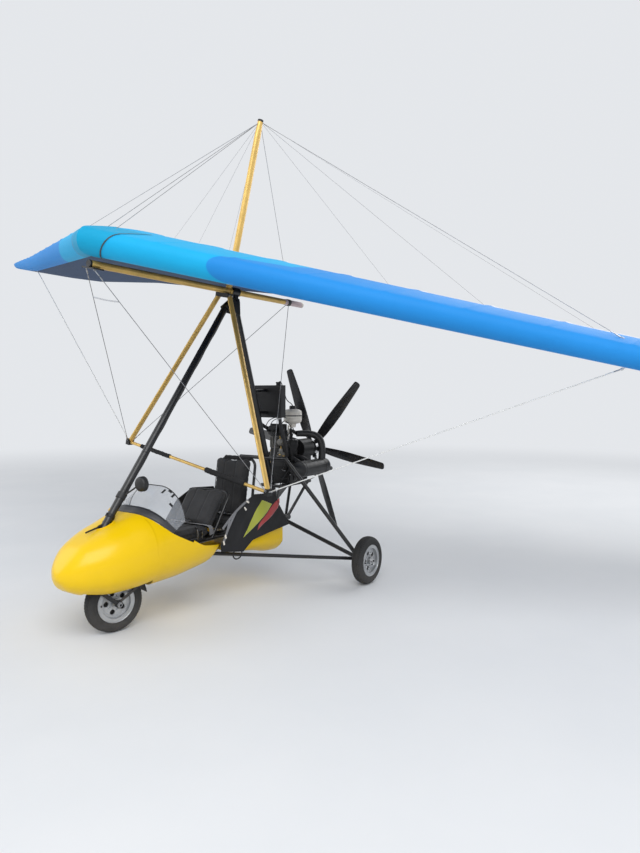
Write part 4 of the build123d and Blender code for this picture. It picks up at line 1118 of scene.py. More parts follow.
def make_wheel_trim(name, body, place):
    """Rolled beads, web bolts, ridges, window lips, brake disc and valve."""
    trim, disc, valve = (bmesh.new() for _ in range(3))
    for height in (-42, 42):
        add_hoop(trim, place, RIM_LIP + 10, 3.2, 96, 8, height)
    for (x, y), window in zip(circle(WINDOWS, BOLT_RING, 0.5), circle(WINDOWS, WINDOW_RING)):
        add_bolt(trim, place @ Vector((x, y, WEB / 1000)), place.to_3x3() @ Vector((0, 0, 1)), 7.5, 7.0)
        add_hoop(trim, place, WINDOW_RADIUS, 1.6, 32, 6, WEB, window)
    for radius in (40, 88, 101):
        add_hoop(trim, place, radius, 1.8, 72, 6, WEB)
    finish(name + "_rim_trim", trim, "cast_alloy", 40.0, body)
    add_lathe(disc, BRAKE_DISC, place, 72, ends=False)
    finish(name + "_brake_disc", disc, "brake_iron", 30.0, body)
    stem = place @ Matrix.Translation((0.098, 0, WEB / 1000)) @ turned(24, "Y")
    add_lathe(valve, VALVE, stem, 14)
    finish(name + "_valve", valve, "hose_rubber", 40.0, body)


def axle_nut(bore, shoulder, top):
    return [(bore, 3), (13.8, 3), (14.5, 4), (14.5, shoulder), (13.5, shoulder + 1), (top, shoulder + 1)]


def make_axle_ends():
    """Nuts and washers on the two stub axles and the nose wheel's pin, and the foot pegs' rubbers."""
    stubs, pin, pegs = (bmesh.new() for _ in range(3))
    for side, _ in SIDES:
        end = trike(-WHEELBASE, side * (HALF_TRACK + 0.0465), TYRE_RADIUS)
        place = axle_place(end, side, steered=False)
        add_lathe(stubs, [(18.5, 0), (18.5, 2.8), (10.5, 3.0)], place, 32, ends=False)
        add_lathe(stubs, axle_nut(10.5, 14.5, 8.4), place, 6, ends=False)
        place = axle_place(WHEELS[0][1], side, steered=True) @ Matrix.Translation((0, 0, 0.0925))
        add_lathe(pin, WASHER, place, 32, ends=False)
        add_lathe(pin, axle_nut(10.2, 13.5, 10.2), place, 6, ends=False)
        inner, outer = (STEER @ trike(HEAD_X + PEG_X, side * y, PEG_Z) for y in (0.098, 0.1295))
        rib = (outer - inner).length * 1000 / PEG_RIBS
        profile = []
        for i in range(PEG_RIBS):
            levels = zip((12.8, 14.3, 14.3, 12.8), (0.05, 0.25, 0.75, 0.95))
            profile += [(radius, rib * (i + share)) for radius, share in levels]
        add_lathe(pegs, profile, frame_between(inner, outer), 20)
    finish("stub_axle_nuts", stubs, "steel", 30.0)
    finish("fork_pin_nuts", pin, "steel", 30.0, "nose_fork")
    finish("foot_peg_rubbers", pegs, "hose_rubber", 30.0, "nose_fork")


def make_wheels():
    for name, centre, side in WHEELS:
        place = axle_place(centre, side, steered=name == "nose")
        make_tyre(name, name + "_wheel", place)
        make_wheel_trim(name, name + "_wheel", place)
    make_axle_ends()


# Seats: padded cushions swollen by cloth simulation, with piping, pressed channels and a belt

PADS = [
    # name, node, station and height of its low front edge and high rear edge, half width, thickness, channels
    ("front_seat_base", "front_seat", (-0.446, 0.5415), (-0.792, 0.5445), 0.199, 0.060, (-0.07, 0.07)),
    ("front_seat_back", "front_seat", (-0.820, 0.5900), (-1.004, 0.8440), 0.199, 0.056, (-0.07, 0.07)),
    ("rear_seat_base", "rear_seat", (-1.006, 0.5415), (-1.240, 0.5445), 0.184, 0.060, (-0.06, 0.06)),
    ("rear_seat_back", "rear_seat", (-1.262, 0.5950), (-1.334, 1.0810), 0.184, 0.056, (-0.06, 0.06)),
]
PAD_VOXEL = 0.006
PAD_SHRINK = 0.010
PAD_CORNER = 0.035
PAD_LEVELS = [(0.0, 0.93), (0.14, 0.985), (0.35, 1.0), (0.65, 1.0), (0.86, 0.985), (1.0, 0.92)]
SWELL_FRAMES = 20
SWELL_CAP = 0.024
CHANNEL_DEPTH, CHANNEL_HALF = 0.0065, 0.0052
BELTS = [
    ((-805, 212, 550), (-790, 205, 615), (-750, 130, 632), (-735, 30, 634)),
    ((-1245, 198, 550), (-1210, 190, 622), (-1180, 110, 638), (-1170, 30, 640)),
]


def slab_rings(length, half, thick, place):
    """Rings of a slab along X with rounded corners in plan, its flat side at Z = 0."""
    outline = rounded_outline(length, half, PAD_CORNER, 6)
    middle = Vector((length / 2, 0))
    rings = []
    for level, share in PAD_LEVELS:
        points = [middle + (Vector(point) - middle) * share for point in outline]
        rings.append([place @ Vector((p.x, p.y, thick * level)) for p in points])
    return rings


def swell(obj):
    """Cloth under pressure, applied, with every point's move capped."""
    start = [v.co.copy() for v in obj.data.vertices]
    cloth = obj.modifiers.new("swell", "CLOTH")
    cloth.settings.use_pressure = True
    cloth.settings.uniform_pressure_force = 4.0
    cloth.settings.effector_weights.gravity = 0.0
    cloth.settings.shrink_min = -0.07
    cloth.settings.quality = 4
    cloth.point_cache.frame_start = 1
    cloth.point_cache.frame_end = SWELL_FRAMES
    scene = bpy.context.scene
    for frame_number in range(1, SWELL_FRAMES + 1):
        scene.frame_set(frame_number)
    apply_modifiers(obj)
    scene.frame_set(1)
    for vert, before in zip(obj.data.vertices, start):
        move = vert.co - before
        if move.length > SWELL_CAP:
            vert.co = before + move.normalized() * SWELL_CAP


def press_channels(pad, place, length, thick, channels, phase):
    """Sewn channels and slow waves on the pad's upper side, and a flat back."""
    inverse = place.inverted()
    for vert in pad.data.vertices:
        p = inverse @ vert.co
        if p.z > thick * 0.5:
            press = sum(math.exp(-((p.y - c) / CHANNEL_HALF) ** 2) for c in channels)
            inside = max(0.0, min(1.0, min(p.x, length - p.x) / 0.03))
            wave = 0.0016 * math.sin(p.x * 46 + phase + 5 * p.y) * math.sin(p.y * 31 + phase)
            p.z -= CHANNEL_DEPTH * press * inside - wave
        p.z = max(p.z, 0.0)
        vert.co = place @ p


def make_pad(name, node, low, high, half, thick, channels):
    """Cushion from a slab, and the edge cord that follows it."""
    along = Vector((high[0] - low[0], high[1] - low[1]))
    length = along.length
    lean = Matrix.Rotation(-math.atan2(along.y, -along.x), 4, "Y")
    place = Matrix.Translation(trike(low[0], 0, low[1])) @ Matrix.Rotation(math.pi, 4, "Z") @ lean
    bm = bmesh.new()
    inset = place @ Matrix.Translation((0, 0, PAD_SHRINK / 2))
    add_rings(bm, slab_rings(length, half - PAD_SHRINK, thick - PAD_SHRINK, inset))
    pad = finish(name, bm, "seat_cloth", None)
    remesh = pad.modifiers.new("even", "REMESH")
    remesh.mode = "VOXEL"
    remesh.voxel_size = PAD_VOXEL
    apply_modifiers(pad)
    swell(pad)
    phase = random.Random(len(name)).uniform(0, 6)
    press_channels(pad, place, length, thick, channels, phase)
    smooth = pad.modifiers.new("round", "SUBSURF")
    smooth.levels = 1
    apply_modifiers(pad)
    pad.data.shade_smooth()
    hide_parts(node)
    cord = bmesh.new()
    outline = rounded_outline(length, half, 0.036, 8, 0.0015)
    ring = [place @ Vector((x, y, thick * 0.84)) for x, y in outline]
    add_tube(cord, [pad.closest_point_on_mesh(point)[1] for point in ring], 3.2, 8, cyclic=True)
    finish(name + "_piping", cord, "seat_trim", 60.0)


def make_seats():
    for pad in PADS:
        make_pad(*pad)
    belts, buckles = bmesh.new(), bmesh.new()
    for side, _ in SIDES:
        for belt in BELTS:
            add_strap(belts, [spot(x, side * y, z) for x, y, z in belt], 44, across=(1, 0, 0.2))
    finish("seat_belts", belts, "grey_webbing", 30.0)
    for x, z in ((-735, 636), (-1170, 642)):
        add_box(buckles, (x - 26, x + 26), (-34, 34), (z, z + 13), notch=2)
        add_box(buckles, (x - 12, x + 12), (-14, 14), (z + 13.5, z + 16.5), notch=2)
    finish("belt_buckles", buckles, "steel", 40.0)


# Side cloths: one sewn panel a side, with a hem, straps and two plain flashes

CLOTH_SHAPE = metres(
    (-760, 495), (-764, 440), (-1016, 394), (-1130, 465), (-1350, 490), (-1620, 514), (-1611, 534),
    (-1484, 697), (-1415, 811), (-1153, 831), (-969, 749),
)
CLOTH_MIDDLE = 0.3505
FLASHES = [
    ("green", metres(
        (-1253, 774), (-1390, 722), (-1335, 672), (-1272, 626), (-1200, 588), (-1120, 548), (-1020, 501),
        (-1070, 560), (-1110, 622), (-1160, 682), (-1205, 728),
    )),
    ("red", metres(
        (-1488, 760), (-1490, 722), (-1462, 676), (-1400, 634), (-1330, 598), (-1262, 566), (-1193, 532),
        (-1214, 576), (-1262, 609), (-1300, 636), (-1362, 686), (-1395, 711), (-1440, 738),
    )),
]
FLASH_LIFT = 0.0016
STRAPS = [
    ((-1070, 362, 800), (-1000, 364, 772), (-912, 366, 727), (-838, 366, 676), (-765, 364, 618)),
    ((-912, 368, 727), (-850, 370, 650), (-805, 368, 580), (-775, 364, 512)),
    ((-838, 369, 676), (-815, 371, 612), (-795, 368, 560)),
]
STRAP_CLIPS = [
    # station, height, lean in radians
    (-1052, 786, 0.5), (-1022, 735, 0.9), (-790, 552, 1.2), (-770, 508, 1.3),
]


def sides_of(outline):
    return zip(outline, outline[1:] + outline[:1])


def inside(point, outline):
    x, z = point
    within = False
    for (ax, az), (bx, bz) in sides_of(outline):
        if (az > z) != (bz > z) and x < ax + (z - az) * (bx - ax) / (bz - az):
            within = not within
    return within


def edge_distance(point, outline):
    """Distance in from the outline's nearest side."""
    best = 9.0
    p = Vector(point)
    for a, b in sides_of(outline):
        a, b = Vector(a), Vector(b)
        t = max(0.0, min(1.0, (p - a).dot(b - a) / (b - a).length_squared))
        best = min(best, (p - a - (b - a) * t).length)
    return best


def cloth_at(x, z, side, lift=0.0):
    """Place on the side cloth, with outward and inward waves that die out at its edge."""
    edge = min(1.0, edge_distance((x, z), CLOTH_SHAPE) / 0.09)
    folds = 0.55 * math.sin(11 * x + 17 * z + side) + 0.3 * math.sin(27 * x - 13 * z + 2 * side)
    folds += 0.15 * math.sin(52 * x + 35 * z)
    return trike(x, side * (CLOTH_MIDDLE + 0.0062 * folds * edge + lift), z)


def outline_points(outline, spacing):
    rim = []
    for a, b in sides_of(outline):
        count = max(1, int(math.hypot(b[0] - a[0], b[1] - a[1]) / spacing))
        rim += [(a[0] + (b[0] - a[0]) * i / count, a[1] + (b[1] - a[1]) * i / count) for i in range(count)]
    return rim


def add_filled(bm, outline, side, spacing, lift=0.0):
    """Triangulated grid that fills an outline on the side cloth."""
    rim = outline_points(outline, spacing)
    (left, right), (low, high) = ((min(values), max(values)) for values in zip(*outline))
    points, row, z = list(rim), 0, low + spacing * 0.5
    while z < high:
        x = left + (row % 2) * spacing * 0.5
        while x < right:
            if inside((x, z), outline) and edge_distance((x, z), outline) > spacing * 0.55:
                points.append((x, z))
            x += spacing
        z += spacing * 0.87
        row += 1
    edges = [(i, (i + 1) % len(rim)) for i in range(len(rim))]
    verts, _, faces, _, _, _ = delaunay_2d_cdt([Vector(p) for p in points], edges, [], 1, 1e-6)
    made = [bm.verts.new(cloth_at(v.x, v.y, side, lift)) for v in verts]
    for face in faces:
        bm.faces.new([made[i] for i in (face if side > 0 else reversed(face))])


def make_side_cloths():
    for side, name in SIDES:
        bm, hem = bmesh.new(), bmesh.new()
        add_filled(bm, CLOTH_SHAPE, side, 0.012)
        node = "side_cloths"
        cloth = finish(
            name + "_side_cloth", bm, "side_cloth", 180.0, node=node, wall=(1.6, 0.0),
        )
        rim = [trike(x, side * CLOTH_MIDDLE, z) for x, z in outline_points(CLOTH_SHAPE, 0.012)]
        add_tube(hem, rim, 4.2, 8, flat=0.8, cyclic=True)
        pieces = [finish(name + "_cloth_hem", hem, "seat_trim", 50.0)]
        for label, shape in FLASHES:
            patch, label = bmesh.new(), "flash_" + label
            add_filled(patch, shape, side, 0.010, FLASH_LIFT)
            pieces.append(finish(f"{name}_{label}", patch, label, 180.0, wall=(0.8, 0.0)))
    straps, clips, loop = (bmesh.new() for _ in range(3))
    for strap in STRAPS:
        add_strap(straps, [spot(*point) for point in strap], 20, across=(0.4, 0, 0.9))
    finish("side_straps", straps, "grey_webbing", 30.0)
    for station, z, lean in STRAP_CLIPS:
        place = stand(station, 371.5, z) @ Matrix.Rotation(-lean, 4, "Y")
        add_box(clips, (-14, 14), (-3, 3), (-7, 7), place, 1.2)
        add_box(clips, (14.5, 21), (-2, 2), (-4.5, 4.5), place, 1.2)
    finish("strap_clips", clips, "white_plastic", 40.0)
    add_tube(loop, [spot(-980 + 52 * x, 322, 376 + 40 * y) for x, y in circle(40)], 5.5, 8, cyclic=True)
    finish("tie_loop", loop, "hose_rubber", 60.0)


# Propeller: smooth blades with a guard along the leading edge, root collars and hub bolts

BLADE_TABLE = [
    # minus the radius, chord, thickness, twist in degrees
    (-0.070, 0.030, 0.026, 46.0), (-0.110, 0.052, 0.024, 40.0), (-0.150, 0.080, 0.020, 34.0),
    (-0.270, 0.097, 0.017, 27.0), (-0.390, 0.103, 0.014, 22.0), (-0.500, 0.098, 0.012, 20.0),
    (-0.640, 0.086, 0.010, 18.0), (-0.760, 0.074, 0.009, 16.0), (-0.840, 0.064, 0.008, 15.0),
]
BLADE_STATIONS = 46
BLADE_ROOT = 0.0755
BLADE_TIP = 0.018
LEADING_EDGE = 10
COLLAR = [(23.5, 75.2), (23.5, 84), (20.5, 86), (20.5, 94), (22.5, 96), (22.5, 103), (18.5, 106)]
HUB_BOLTS = [
    # distance forward, ring radius, size, head, way
    (-0.0442, 0.036, 6.5, 6, -1), (-0.0342, 0.060, 5.5, 5, -1), (0.0302, 0.063, 5.5, 5, 1),
]


def blade_ring(place, radius):
    """Points of the blade's section at a radius; half way round is the leading edge."""
    chord, thick, twist = table_at(BLADE_TABLE, -radius)
    left = PROP_RADIUS - radius
    if left < BLADE_TIP:
        share = math.sqrt(max(0.0, 1 - (1 - left / BLADE_TIP) ** 2))
        chord, thick = chord * (0.45 + 0.55 * share), thick * (0.3 + 0.7 * share)
    c, s = math.cos(math.radians(twist)), math.sin(math.radians(twist))
    ring = []
    for x, y in circle(20):
        u, v = -0.5 * chord * x, (0.75 if y > 0 else 0.25) * thick * y
        ring.append(place @ Vector((-(u * s + v * c), u * c - v * s, radius)))
    return ring


def make_propeller():
    blades, edges, roots, bolts = (bmesh.new() for _ in range(4))
    last = BLADE_STATIONS - 1
    for i in range(PROP_BLADES):
        place = Matrix.Translation(PROP_AT) @ turned(PROP_FIRST + 360 / PROP_BLADES * i - 90, "X")
        shares = [1 - (1 - k / last) ** 1.25 for k in range(BLADE_STATIONS)]
        radii = [BLADE_ROOT + (PROP_RADIUS - BLADE_ROOT) * share for share in shares]
        add_rings(blades, [blade_ring(place, radius) for radius in radii])
        radii = [0.44 + (PROP_RADIUS - 0.462) * k / 14 for k in range(15)]
        add_tube(edges, [blade_ring(place, radius)[LEADING_EDGE] for radius in radii], 2.2, 6)
        add_lathe(roots, COLLAR, place, 20)
    bmesh.ops.recalc_face_normals(blades, faces=blades.faces)
    finish("prop_blades_smooth", blades, "prop_black", 50.0, "propeller", "prop_blades")
    finish("prop_edge_guard", edges, "prop_edge", 50.0, "propeller")
    finish("prop_root_collars", roots, "engine_case", 35.0, "propeller")
    for ahead, ring, size, head, way in HUB_BOLTS:
        for y, z in circle(6, ring, 0.5):
            add_bolt(bolts, PROP_AT + Vector((ahead, y, z)), (way, 0, 0), size, head)
    finish("prop_hub_bolts", bolts, "steel", 30.0, "propeller")


# Engine dressing, in millimetres in the trike's frame

CYLINDERS = (-1985, -2125)
ENGINE_TOP, HEAD_TOP, BRIDGE_TOP, PORT_HEIGHT, PLUG_CAP = 996.3, 1208.3, 1216.3, 1048.3, 1244.3
CASE_LIP = 900
MUFFLER_Y, MUFFLER_Z, MUFFLER_RADIUS = 262, 958, 75
RADIATOR_WIDE, RADIATOR_LOW, RADIATOR_HIGH = 172, 1463, 1701
CARB_Y = -118
BOTTLE_X, BOTTLE_Y = -2100, 40
CYLINDER_FOOT = [(62.2, 1), (74, 1), (76, 3), (76, 11), (74, 13), (62.2, 14)]
COIL_SPIGOT = [(12, 0), (12, 20), (9, 24), (9, 34)]
FUEL_PUMP = [
    (20, 0), (30, 3), (31.5, 8), (31.5, 16), (27, 18), (27, 24), (32.5, 26), (32.5, 36), (24, 40), (16, 61),
]
REGULATOR_TOP = [(18, 0), (19.5, 4), (19.5, 30), (16, 35)]
UNION = [(8.5, 0), (8.5, 7), (5, 9), (4.2, 12), (5.8, 15), (4.2, 18), (5.6, 21), (3.8, 24)]
UNIONS = [
    # start and end of each
    ((-1856, 78, 1238), (-1850, 78, 1268)), ((-1856, 110, 1205), (-1852, 134, 1207)),
    ((-1852, 110, 1078), (-1850, 136, 1080)), ((-1836, 58, 1062), (-1812, 58, 1058)),
    ((-1836, 88, 1090), (-1814, 88, 1090)), ((-1870, 74, 1143), (-1870, 74, 1163)),
]
WATER_HOSES = [
    [
        (-1782, 130, 1436), (-1786, 138, 1360), (-1815, 150, 1240), (-1850, 152, 1120), (-1885, 120, 1000),
        (-1905, 85, 930),
    ],
    [
        (-1782, -110, 1436), (-1800, -112, 1380), (-1880, -90, 1330), (-1980, -30, 1305), (-2045, 0, 1270),
        (-2055, 0, 1217),
    ],
    [(-2125, 66, 1270), (-2120, 35, 1290), (-2095, 4, 1300), (-2064, -4, 1270), (-2058, -2, 1240)],
]
FUEL_LINES = [
    [
        (-1850, 78, 1268), (-1840, 82, 1330), (-1870, 110, 1400), (-1960, 100, 1370), (-2020, 75, 1300),
        (-2055, -120, 1120), (-2030, -125, 1095),
    ],
    [
        (-1852, 134, 1207), (-1860, 170, 1190), (-1900, 176, 1100), (-1905, 160, 980), (-1870, 80, 840),
        (-1860, 40, 700), (-1800, 50, 520),
    ],
    [(-1850, 136, 1080), (-1840, 165, 1060), (-1850, 180, 1000), (-1900, 150, 940), (-1930, 139, 930)],
    [(-1814, 88, 1090), (-1780, 92, 1110), (-1760, 80, 1190), (-1780, 60, 1270), (-1850, 30, 1300)],
    [(-1812, 58, 1058), (-1775, 60, 1050), (-1750, 70, 980), (-1800, 110, 880), (-1900, 136, 870)],
    [(-2080, 52, 1334), (-2068, 75, 1300), (-2040, 80, 1250), (-2020, 70, 1150), (-2000, 78, 1060)],
    [
        (-1775, 120, 1752), (-1800, 128, 1760), (-1860, 110, 1700), (-1950, 80, 1600), (-2060, 50, 1560),
        (-2098, 40, 1540),
    ],
]
SPARK_CAP = [(14.5, 0), (15.5, 3), (15.5, 22), (11.5, 30), (11.5, 62), (8.5, 68), (8.5, 80), (4.5, 83)]
HOSE_CLIPS = [
    ((-1782, 131, 1425), (0, 0.08, -1)), ((-1900, 92, 945), (-0.25, -0.4, -0.9)),
    ((-1784, -110, 1425), (-0.1, 0, -1)), ((-2055, 0, 1235), (0, 0, -1)),
]
ELBOW_RUN = [
    # from the muffler's back up and over to the rear cylinder
    (-2262, 262, 985), (-2270, 264, 1060), (-2272, 262, 1140), (-2266, 245, 1208), (-2246, 205, 1250),
    (-2212, 150, 1268), (-2170, 100, 1271), (-2128, 64, 1270),
]
MUFFLER_PROFILE = [
    # radius, distance back from its front end
    (36, 0), (40, 4), (56, 30), (68, 56), (73.8, 78), (75, 92), (75, 472), (74.2, 484), (70, 496),
    (60, 505.5), (45, 510), (20, 511),
]
TAIL_PIPE = [(15, 0), (18.5, 1), (18.5, 60), (16, 61), (16, 4)]
FILTER_COVER = [(47, 0), (47, 4), (36, 7.5), (34, 5.5), (8, 5.5)]
FLOAT_BOWL = [(10, -10), (12, -8), (20, -4), (24.5, 2), (24.5, 16), (26.5, 17), (26.5, 22), (22.5, 23)]
CARB_LID = [(24.5, -4), (24.5, 6), (19, 10), (7.5, 11), (7.5, 26), (3, 28)]
RADIATOR_CAP = [(20.5, 0), (23.5, 1), (23.5, 8), (21, 10.5), (10, 12)]
BOTTLE_PROFILE = [
    (20, 1330.3), (27, 1331), (30, 1336), (30, 1360), (36, 1366), (62, 1371), (79, 1381), (87, 1398),
    (88, 1415), (86, 1418), (86, 1422), (88, 1425), (88, 1466), (86, 1469), (86, 1473), (87, 1476),
    (82, 1490), (64, 1501), (40, 1506), (24, 1508),
]
BOTTLE_CAP = [(30, 1504, 0), (31, 1506, 0.9), (31, 1531, 0.9), (29, 1537.5, 0), (12, 1538.5, 0)]
BOTTLE_STRAP = [(86.8, 1438), (89.4, 1438.5), (89.4, 1447.5), (86.8, 1448)]


def rib(radius, proud, height, tall):
    return [
        (radius, height), (radius + proud, height + 3), (radius + proud, height + tall - 3),
        (radius, height + tall),
    ]


def band(radius, proud, wide):
    return [(radius, 0), (radius + proud, 1), (radius + proud, wide - 1), (radius, wide)]


def add_fluted(bm, rows, place, count, ends=True):
    """Revolve (radius, height, flute depth) rows, every second point standing out by the flute."""
    rings = []
    for radius, height, flute in rows:
        ring = []
        for i, (x, y) in enumerate(circle(count)):
            r = radius + flute * (i % 2)
            ring.append(place @ (Vector((r * x, r * y, height)) / 1000))
        rings.append(ring)
    add_rings(bm, rings, ends=ends)


def make_engine_case():
    ribs, bolts = bmesh.new(), bmesh.new()
    for y in (-132.5, 132.5):
        add_box(ribs, (-2210, -1910), (y - 4, y + 4), (CASE_LIP - 8, CASE_LIP + 8), notch=2)
        for i in range(5):
            x = -1930 - 65 * i
            add_box(ribs, (x - 4, x + 4), (y - 3, y + 3), (840, 965), notch=1.5)
    for x in CYLINDERS:
        foot = stand(x, 0, ENGINE_TOP)
        add_lathe(ribs, CYLINDER_FOOT, foot, 48, ends=False)
        for height in (45, 75, 105):
            add_lathe(ribs, rib(62, 2.2, height, 12), foot, 48, ends=False)
        for height in (-58, -20):
            add_lathe(ribs, rib(69.2, 2, height, 15), stand(x, 0, HEAD_TOP), 48, ends=False)
        for turns, ring, height, size in (
            ((62, 90, 118, 242, 270, 298), 55, HEAD_TOP, 6), ((45, 135, 225, 315), 69, ENGINE_TOP + 11, 5),
        ):
            for turn in map(math.radians, turns):
                at = spot(x + ring * math.cos(turn), ring * math.sin(turn), height)
                add_bolt(bolts, at, (0, 0, 1), size, size)
    finish("engine_ribs", ribs, "engine_case")
    for side, _ in SIDES:
        for i in range(6):
            add_bolt(bolts, spot(-1925 - 54 * i, side * 136.6, CASE_LIP), (0, side, 0), 5, 4)
        for x in (-1950, -2170):
            add_bolt(bolts, spot(x, side * 100, 783.8), (0, 0, -1), 8, 8)
    for y, z in circle(10, 84):
        add_bolt(bolts, spot(-2390.3, y, 1114 + z), (-1, 0, 0), 5, 4)
    finish("engine_bolts", bolts, "steel", 30.0)


def make_accessories():
    """Plate before the front cylinder with the coil, fuel pump and regulator, and the brass unions."""
    units, pump, unions = (bmesh.new() for _ in range(3))
    add_box(units, (-1906, -1902), (-75, 118), (975, 1372), notch=1.5)
    add_box(units, (-1902, -1846), (-60, 40), (1270, 1352), notch=6)
    add_box(units, (-1902, -1862), (52, 108), (1292, 1346), notch=6)
    for y in (-40, 10):
        add_lathe(units, COIL_SPIGOT, stand(-1846, y, 1310, "fore"), 16)
    finish("ignition_units", units, "black_plastic")
    for i in range(8):
        y = -55 + 10.5 * i
        add_box(pump, (-1902, -1868), (y, y + 4.5), (1150, 1248), notch=1)
    add_box(pump, (-1902, -1890), (-60, 30), (1146, 1252), notch=2)
    add_lathe(pump, FUEL_PUMP, stand(-1840, 78, 1205, "aft"), 32)
    for y, z in circle(4, 22, 0.5):
        add_bolt(pump, spot(-1840, 78 + y, 1205 + z), (1, 0, 0), 3.5, 3)
    add_box(pump, (-1902, -1838), (40, 108), (1040, 1112), notch=10)
    add_lathe(pump, REGULATOR_TOP, stand(-1870, 74, 1108), 28)
    finish("fuel_pump_and_regulator", pump, "engine_alloy")
    for start, end in UNIONS:
        add_lathe(unions, UNION, frame_between(spot(*start), spot(*end)), 6)
    finish("brass_unions", unions, "brass_fitting", 30.0)


def make_hoses():
    hoses("water_hoses", WATER_HOSES, 16.5, 14, 8)
    hoses("fuel_and_vent_lines", FUEL_LINES, 4.2, 8, 6)
    leads, caps, clips = [], bmesh.new(), bmesh.new()
    for x, y in zip(CYLINDERS, (-40, 10)):
        leads.append([
            (-1812, y, 1310), (-1790, y, 1345), (-1830, y + 10, 1405), ((x - 1830) / 2, y * 0.5 + 20, 1430),
            (x + 20, 10, 1385), (x, 0, 1322),
        ])
        add_lathe(caps, SPARK_CAP, stand(x, 0, PLUG_CAP), 20)
    hoses("plug_leads", leads, 3.6, 8, 8)
    finish("plug_caps", caps, "hose_rubber")
    for at, way in HOSE_CLIPS:
        add_clip(clips, spot(*at), Vector(way).normalized(), 16.7)
    finish("hose_clips", clips, "steel", 30.0)


def make_exhaust():
    """Rounded muffler, its fat elbow and the two feeds in one welded piece, with straps and springs."""
    can, bands, springs = (bmesh.new() for _ in range(3))
    add_lathe(can, MUFFLER_PROFILE, stand(-1819.8, MUFFLER_Y, MUFFLER_Z, "aft"), 64)
    path = smooth_path([spot(*point) for point in ELBOW_RUN], 6)
    add_tube(can, path, [34.5 - 6 * (i / (len(path) - 1)) ** 3 for i in range(len(path))], 28)
    for x in CYLINDERS:
        feed_run = (x, 73.5, PORT_HEIGHT), (x - 6, 125, 1040), (x - 14, 190, 1008), (x - 19, 240, 985)
        add_tube(can, smooth_path([spot(*point) for point in feed_run], 5), 23.2, 20)
        for off in (-26, 26):
            a, b = spot(x - 12 + off, 165, 1022), spot(x - 18 + off, 212, 992)
            run, length = frame_between(a, b), (b - a).length
            turns = enumerate(circle(9, 0.0048) * 10)
            add_tube(springs, [run @ Vector((u, v, length * i / 89)) for i, (u, v) in turns], 1.0, 5)
    finish("exhaust_body", can, "exhaust_black", 50.0, node="exhaust")
    for x in (-1930, -2240):
        add_lathe(bands, band(MUFFLER_RADIUS, 2.2, 20), stand(x, MUFFLER_Y, MUFFLER_Z, "aft"), 56, ends=False)
        inner, outer = spot(x - 10, 118, 812), spot(x - 10, MUFFLER_Y - 40, MUFFLER_Z - 64)
        sag = (inner + outer) / 2 + Vector((0, 0.01, -0.01))
        add_strap(bands, [inner, sag, outer], 20, 3.0, across=(1, 0, 0))
    add_lathe(bands, TAIL_PIPE, stand(-2328, MUFFLER_Y + 30, MUFFLER_Z - 30, "aft"), 24, ends=False)
    ridge = [(74.625, 0), (76.2, 2), (74.625, 4)]
    for x in (-1892, -2308):
        add_lathe(bands, ridge, stand(x, MUFFLER_Y, MUFFLER_Z, "aft"), 56, ends=False)
    finish("muffler_bands", bands, "exhaust_black")
    finish("exhaust_springs", springs, "steel", 50.0)


def make_carburettor_trim():
    clips, filters, bowls = (bmesh.new() for _ in range(3))
    for x in CYLINDERS:
        for y, radius in ((-152, 46.2), (-230, 46.2), (-100, 25.2), (-146, 25.2)):
            add_clip(clips, spot(x, y, PORT_HEIGHT), Vector((0, -1, 0)), radius)
        rows = [(45.2 * s, y, 1.4 * s) for y, s in ((160, 1.0), (162, 1.03), (226, 1.03), (228, 1.0))]
        add_fluted(filters, rows, stand(x, 0, PORT_HEIGHT, "starboard"), 96, ends=False)
        add_lathe(filters, FILTER_COVER, stand(x, -237.2, PORT_HEIGHT, "starboard"), 40)
        add_lathe(bowls, FLOAT_BOWL, stand(x, CARB_Y, PORT_HEIGHT - 66), 28)
        add_lathe(bowls, CARB_LID, stand(x, CARB_Y, PORT_HEIGHT + 61.5), 28)
    finish("carburettor_clips", clips, "steel", 30.0)
    finish("filter_pleats", filters, "hose_rubber", 30.0)
    finish("float_bowls", bowls, "brass_fitting")


def make_radiator_trim():
    core, casing = bmesh.new(), bmesh.new()
    low, high, wide = RADIATOR_LOW, RADIATOR_HIGH, RADIATOR_WIDE
    for i in range(23):
        z = low + (high - low) * (i + 0.5) / 23
        for x in ((-1808.5, -1804.5), (-1750, -1746)):
            add_box(core, x, (6 - wide, wide - 6), (z - 1.6, z + 1.6))
    for i in range(36):
        y = 8 - wide + (2 * wide - 16) * i / 35
        for x in ((-1806.2, -1804.8), (-1749.2, -1747.8)):
            add_box(core, x, (y - 0.7, y + 0.7), (low + 4, high - 4))
    finish("radiator_core", core, "radiator_black", None)
    add_lathe(casing, RADIATOR_CAP, stand(-1775, 120, high + 46), 18)
    for y in (wide, -wide):
        add_box(casing, (-1812, -1742), (y - 3, y + 3), (low - 26, high + 26), notch=1.5)
    for y in (130, -110):
        add_lathe(casing, [(14.5, 0), (14.5, 30)], stand(-1782, y, low - 56), 20)
    finish("radiator_frame", casing, "radiator_black", 30.0)


def make_bottle():
    body, cap = bmesh.new(), bmesh.new()
    add_rod(body, spot(-2055, 18, BRIDGE_TOP), spot(-2060, 20, 1352), 8.5, 14)
    place = stand(BOTTLE_X, BOTTLE_Y, 0)
    add_lathe(body, BOTTLE_PROFILE, place, 48)
    finish("bottle_body", body, "white_plastic", 40.0, node="overflow_bottle")
    add_fluted(cap, BOTTLE_CAP, place, 48)
    add_lathe(cap, BOTTLE_STRAP, place, 48, ends=False)
    finish("bottle_cap_and_strap", cap, "black_plastic", 30.0)


def make_engine():
    make_engine_case()
    make_accessories()
    make_hoses()
    make_exhaust()
    make_carburettor_trim()
    make_radiator_trim()
    make_bottle()
    make_propeller()


# Cockpit: gauges, mirror, strut foot, levers

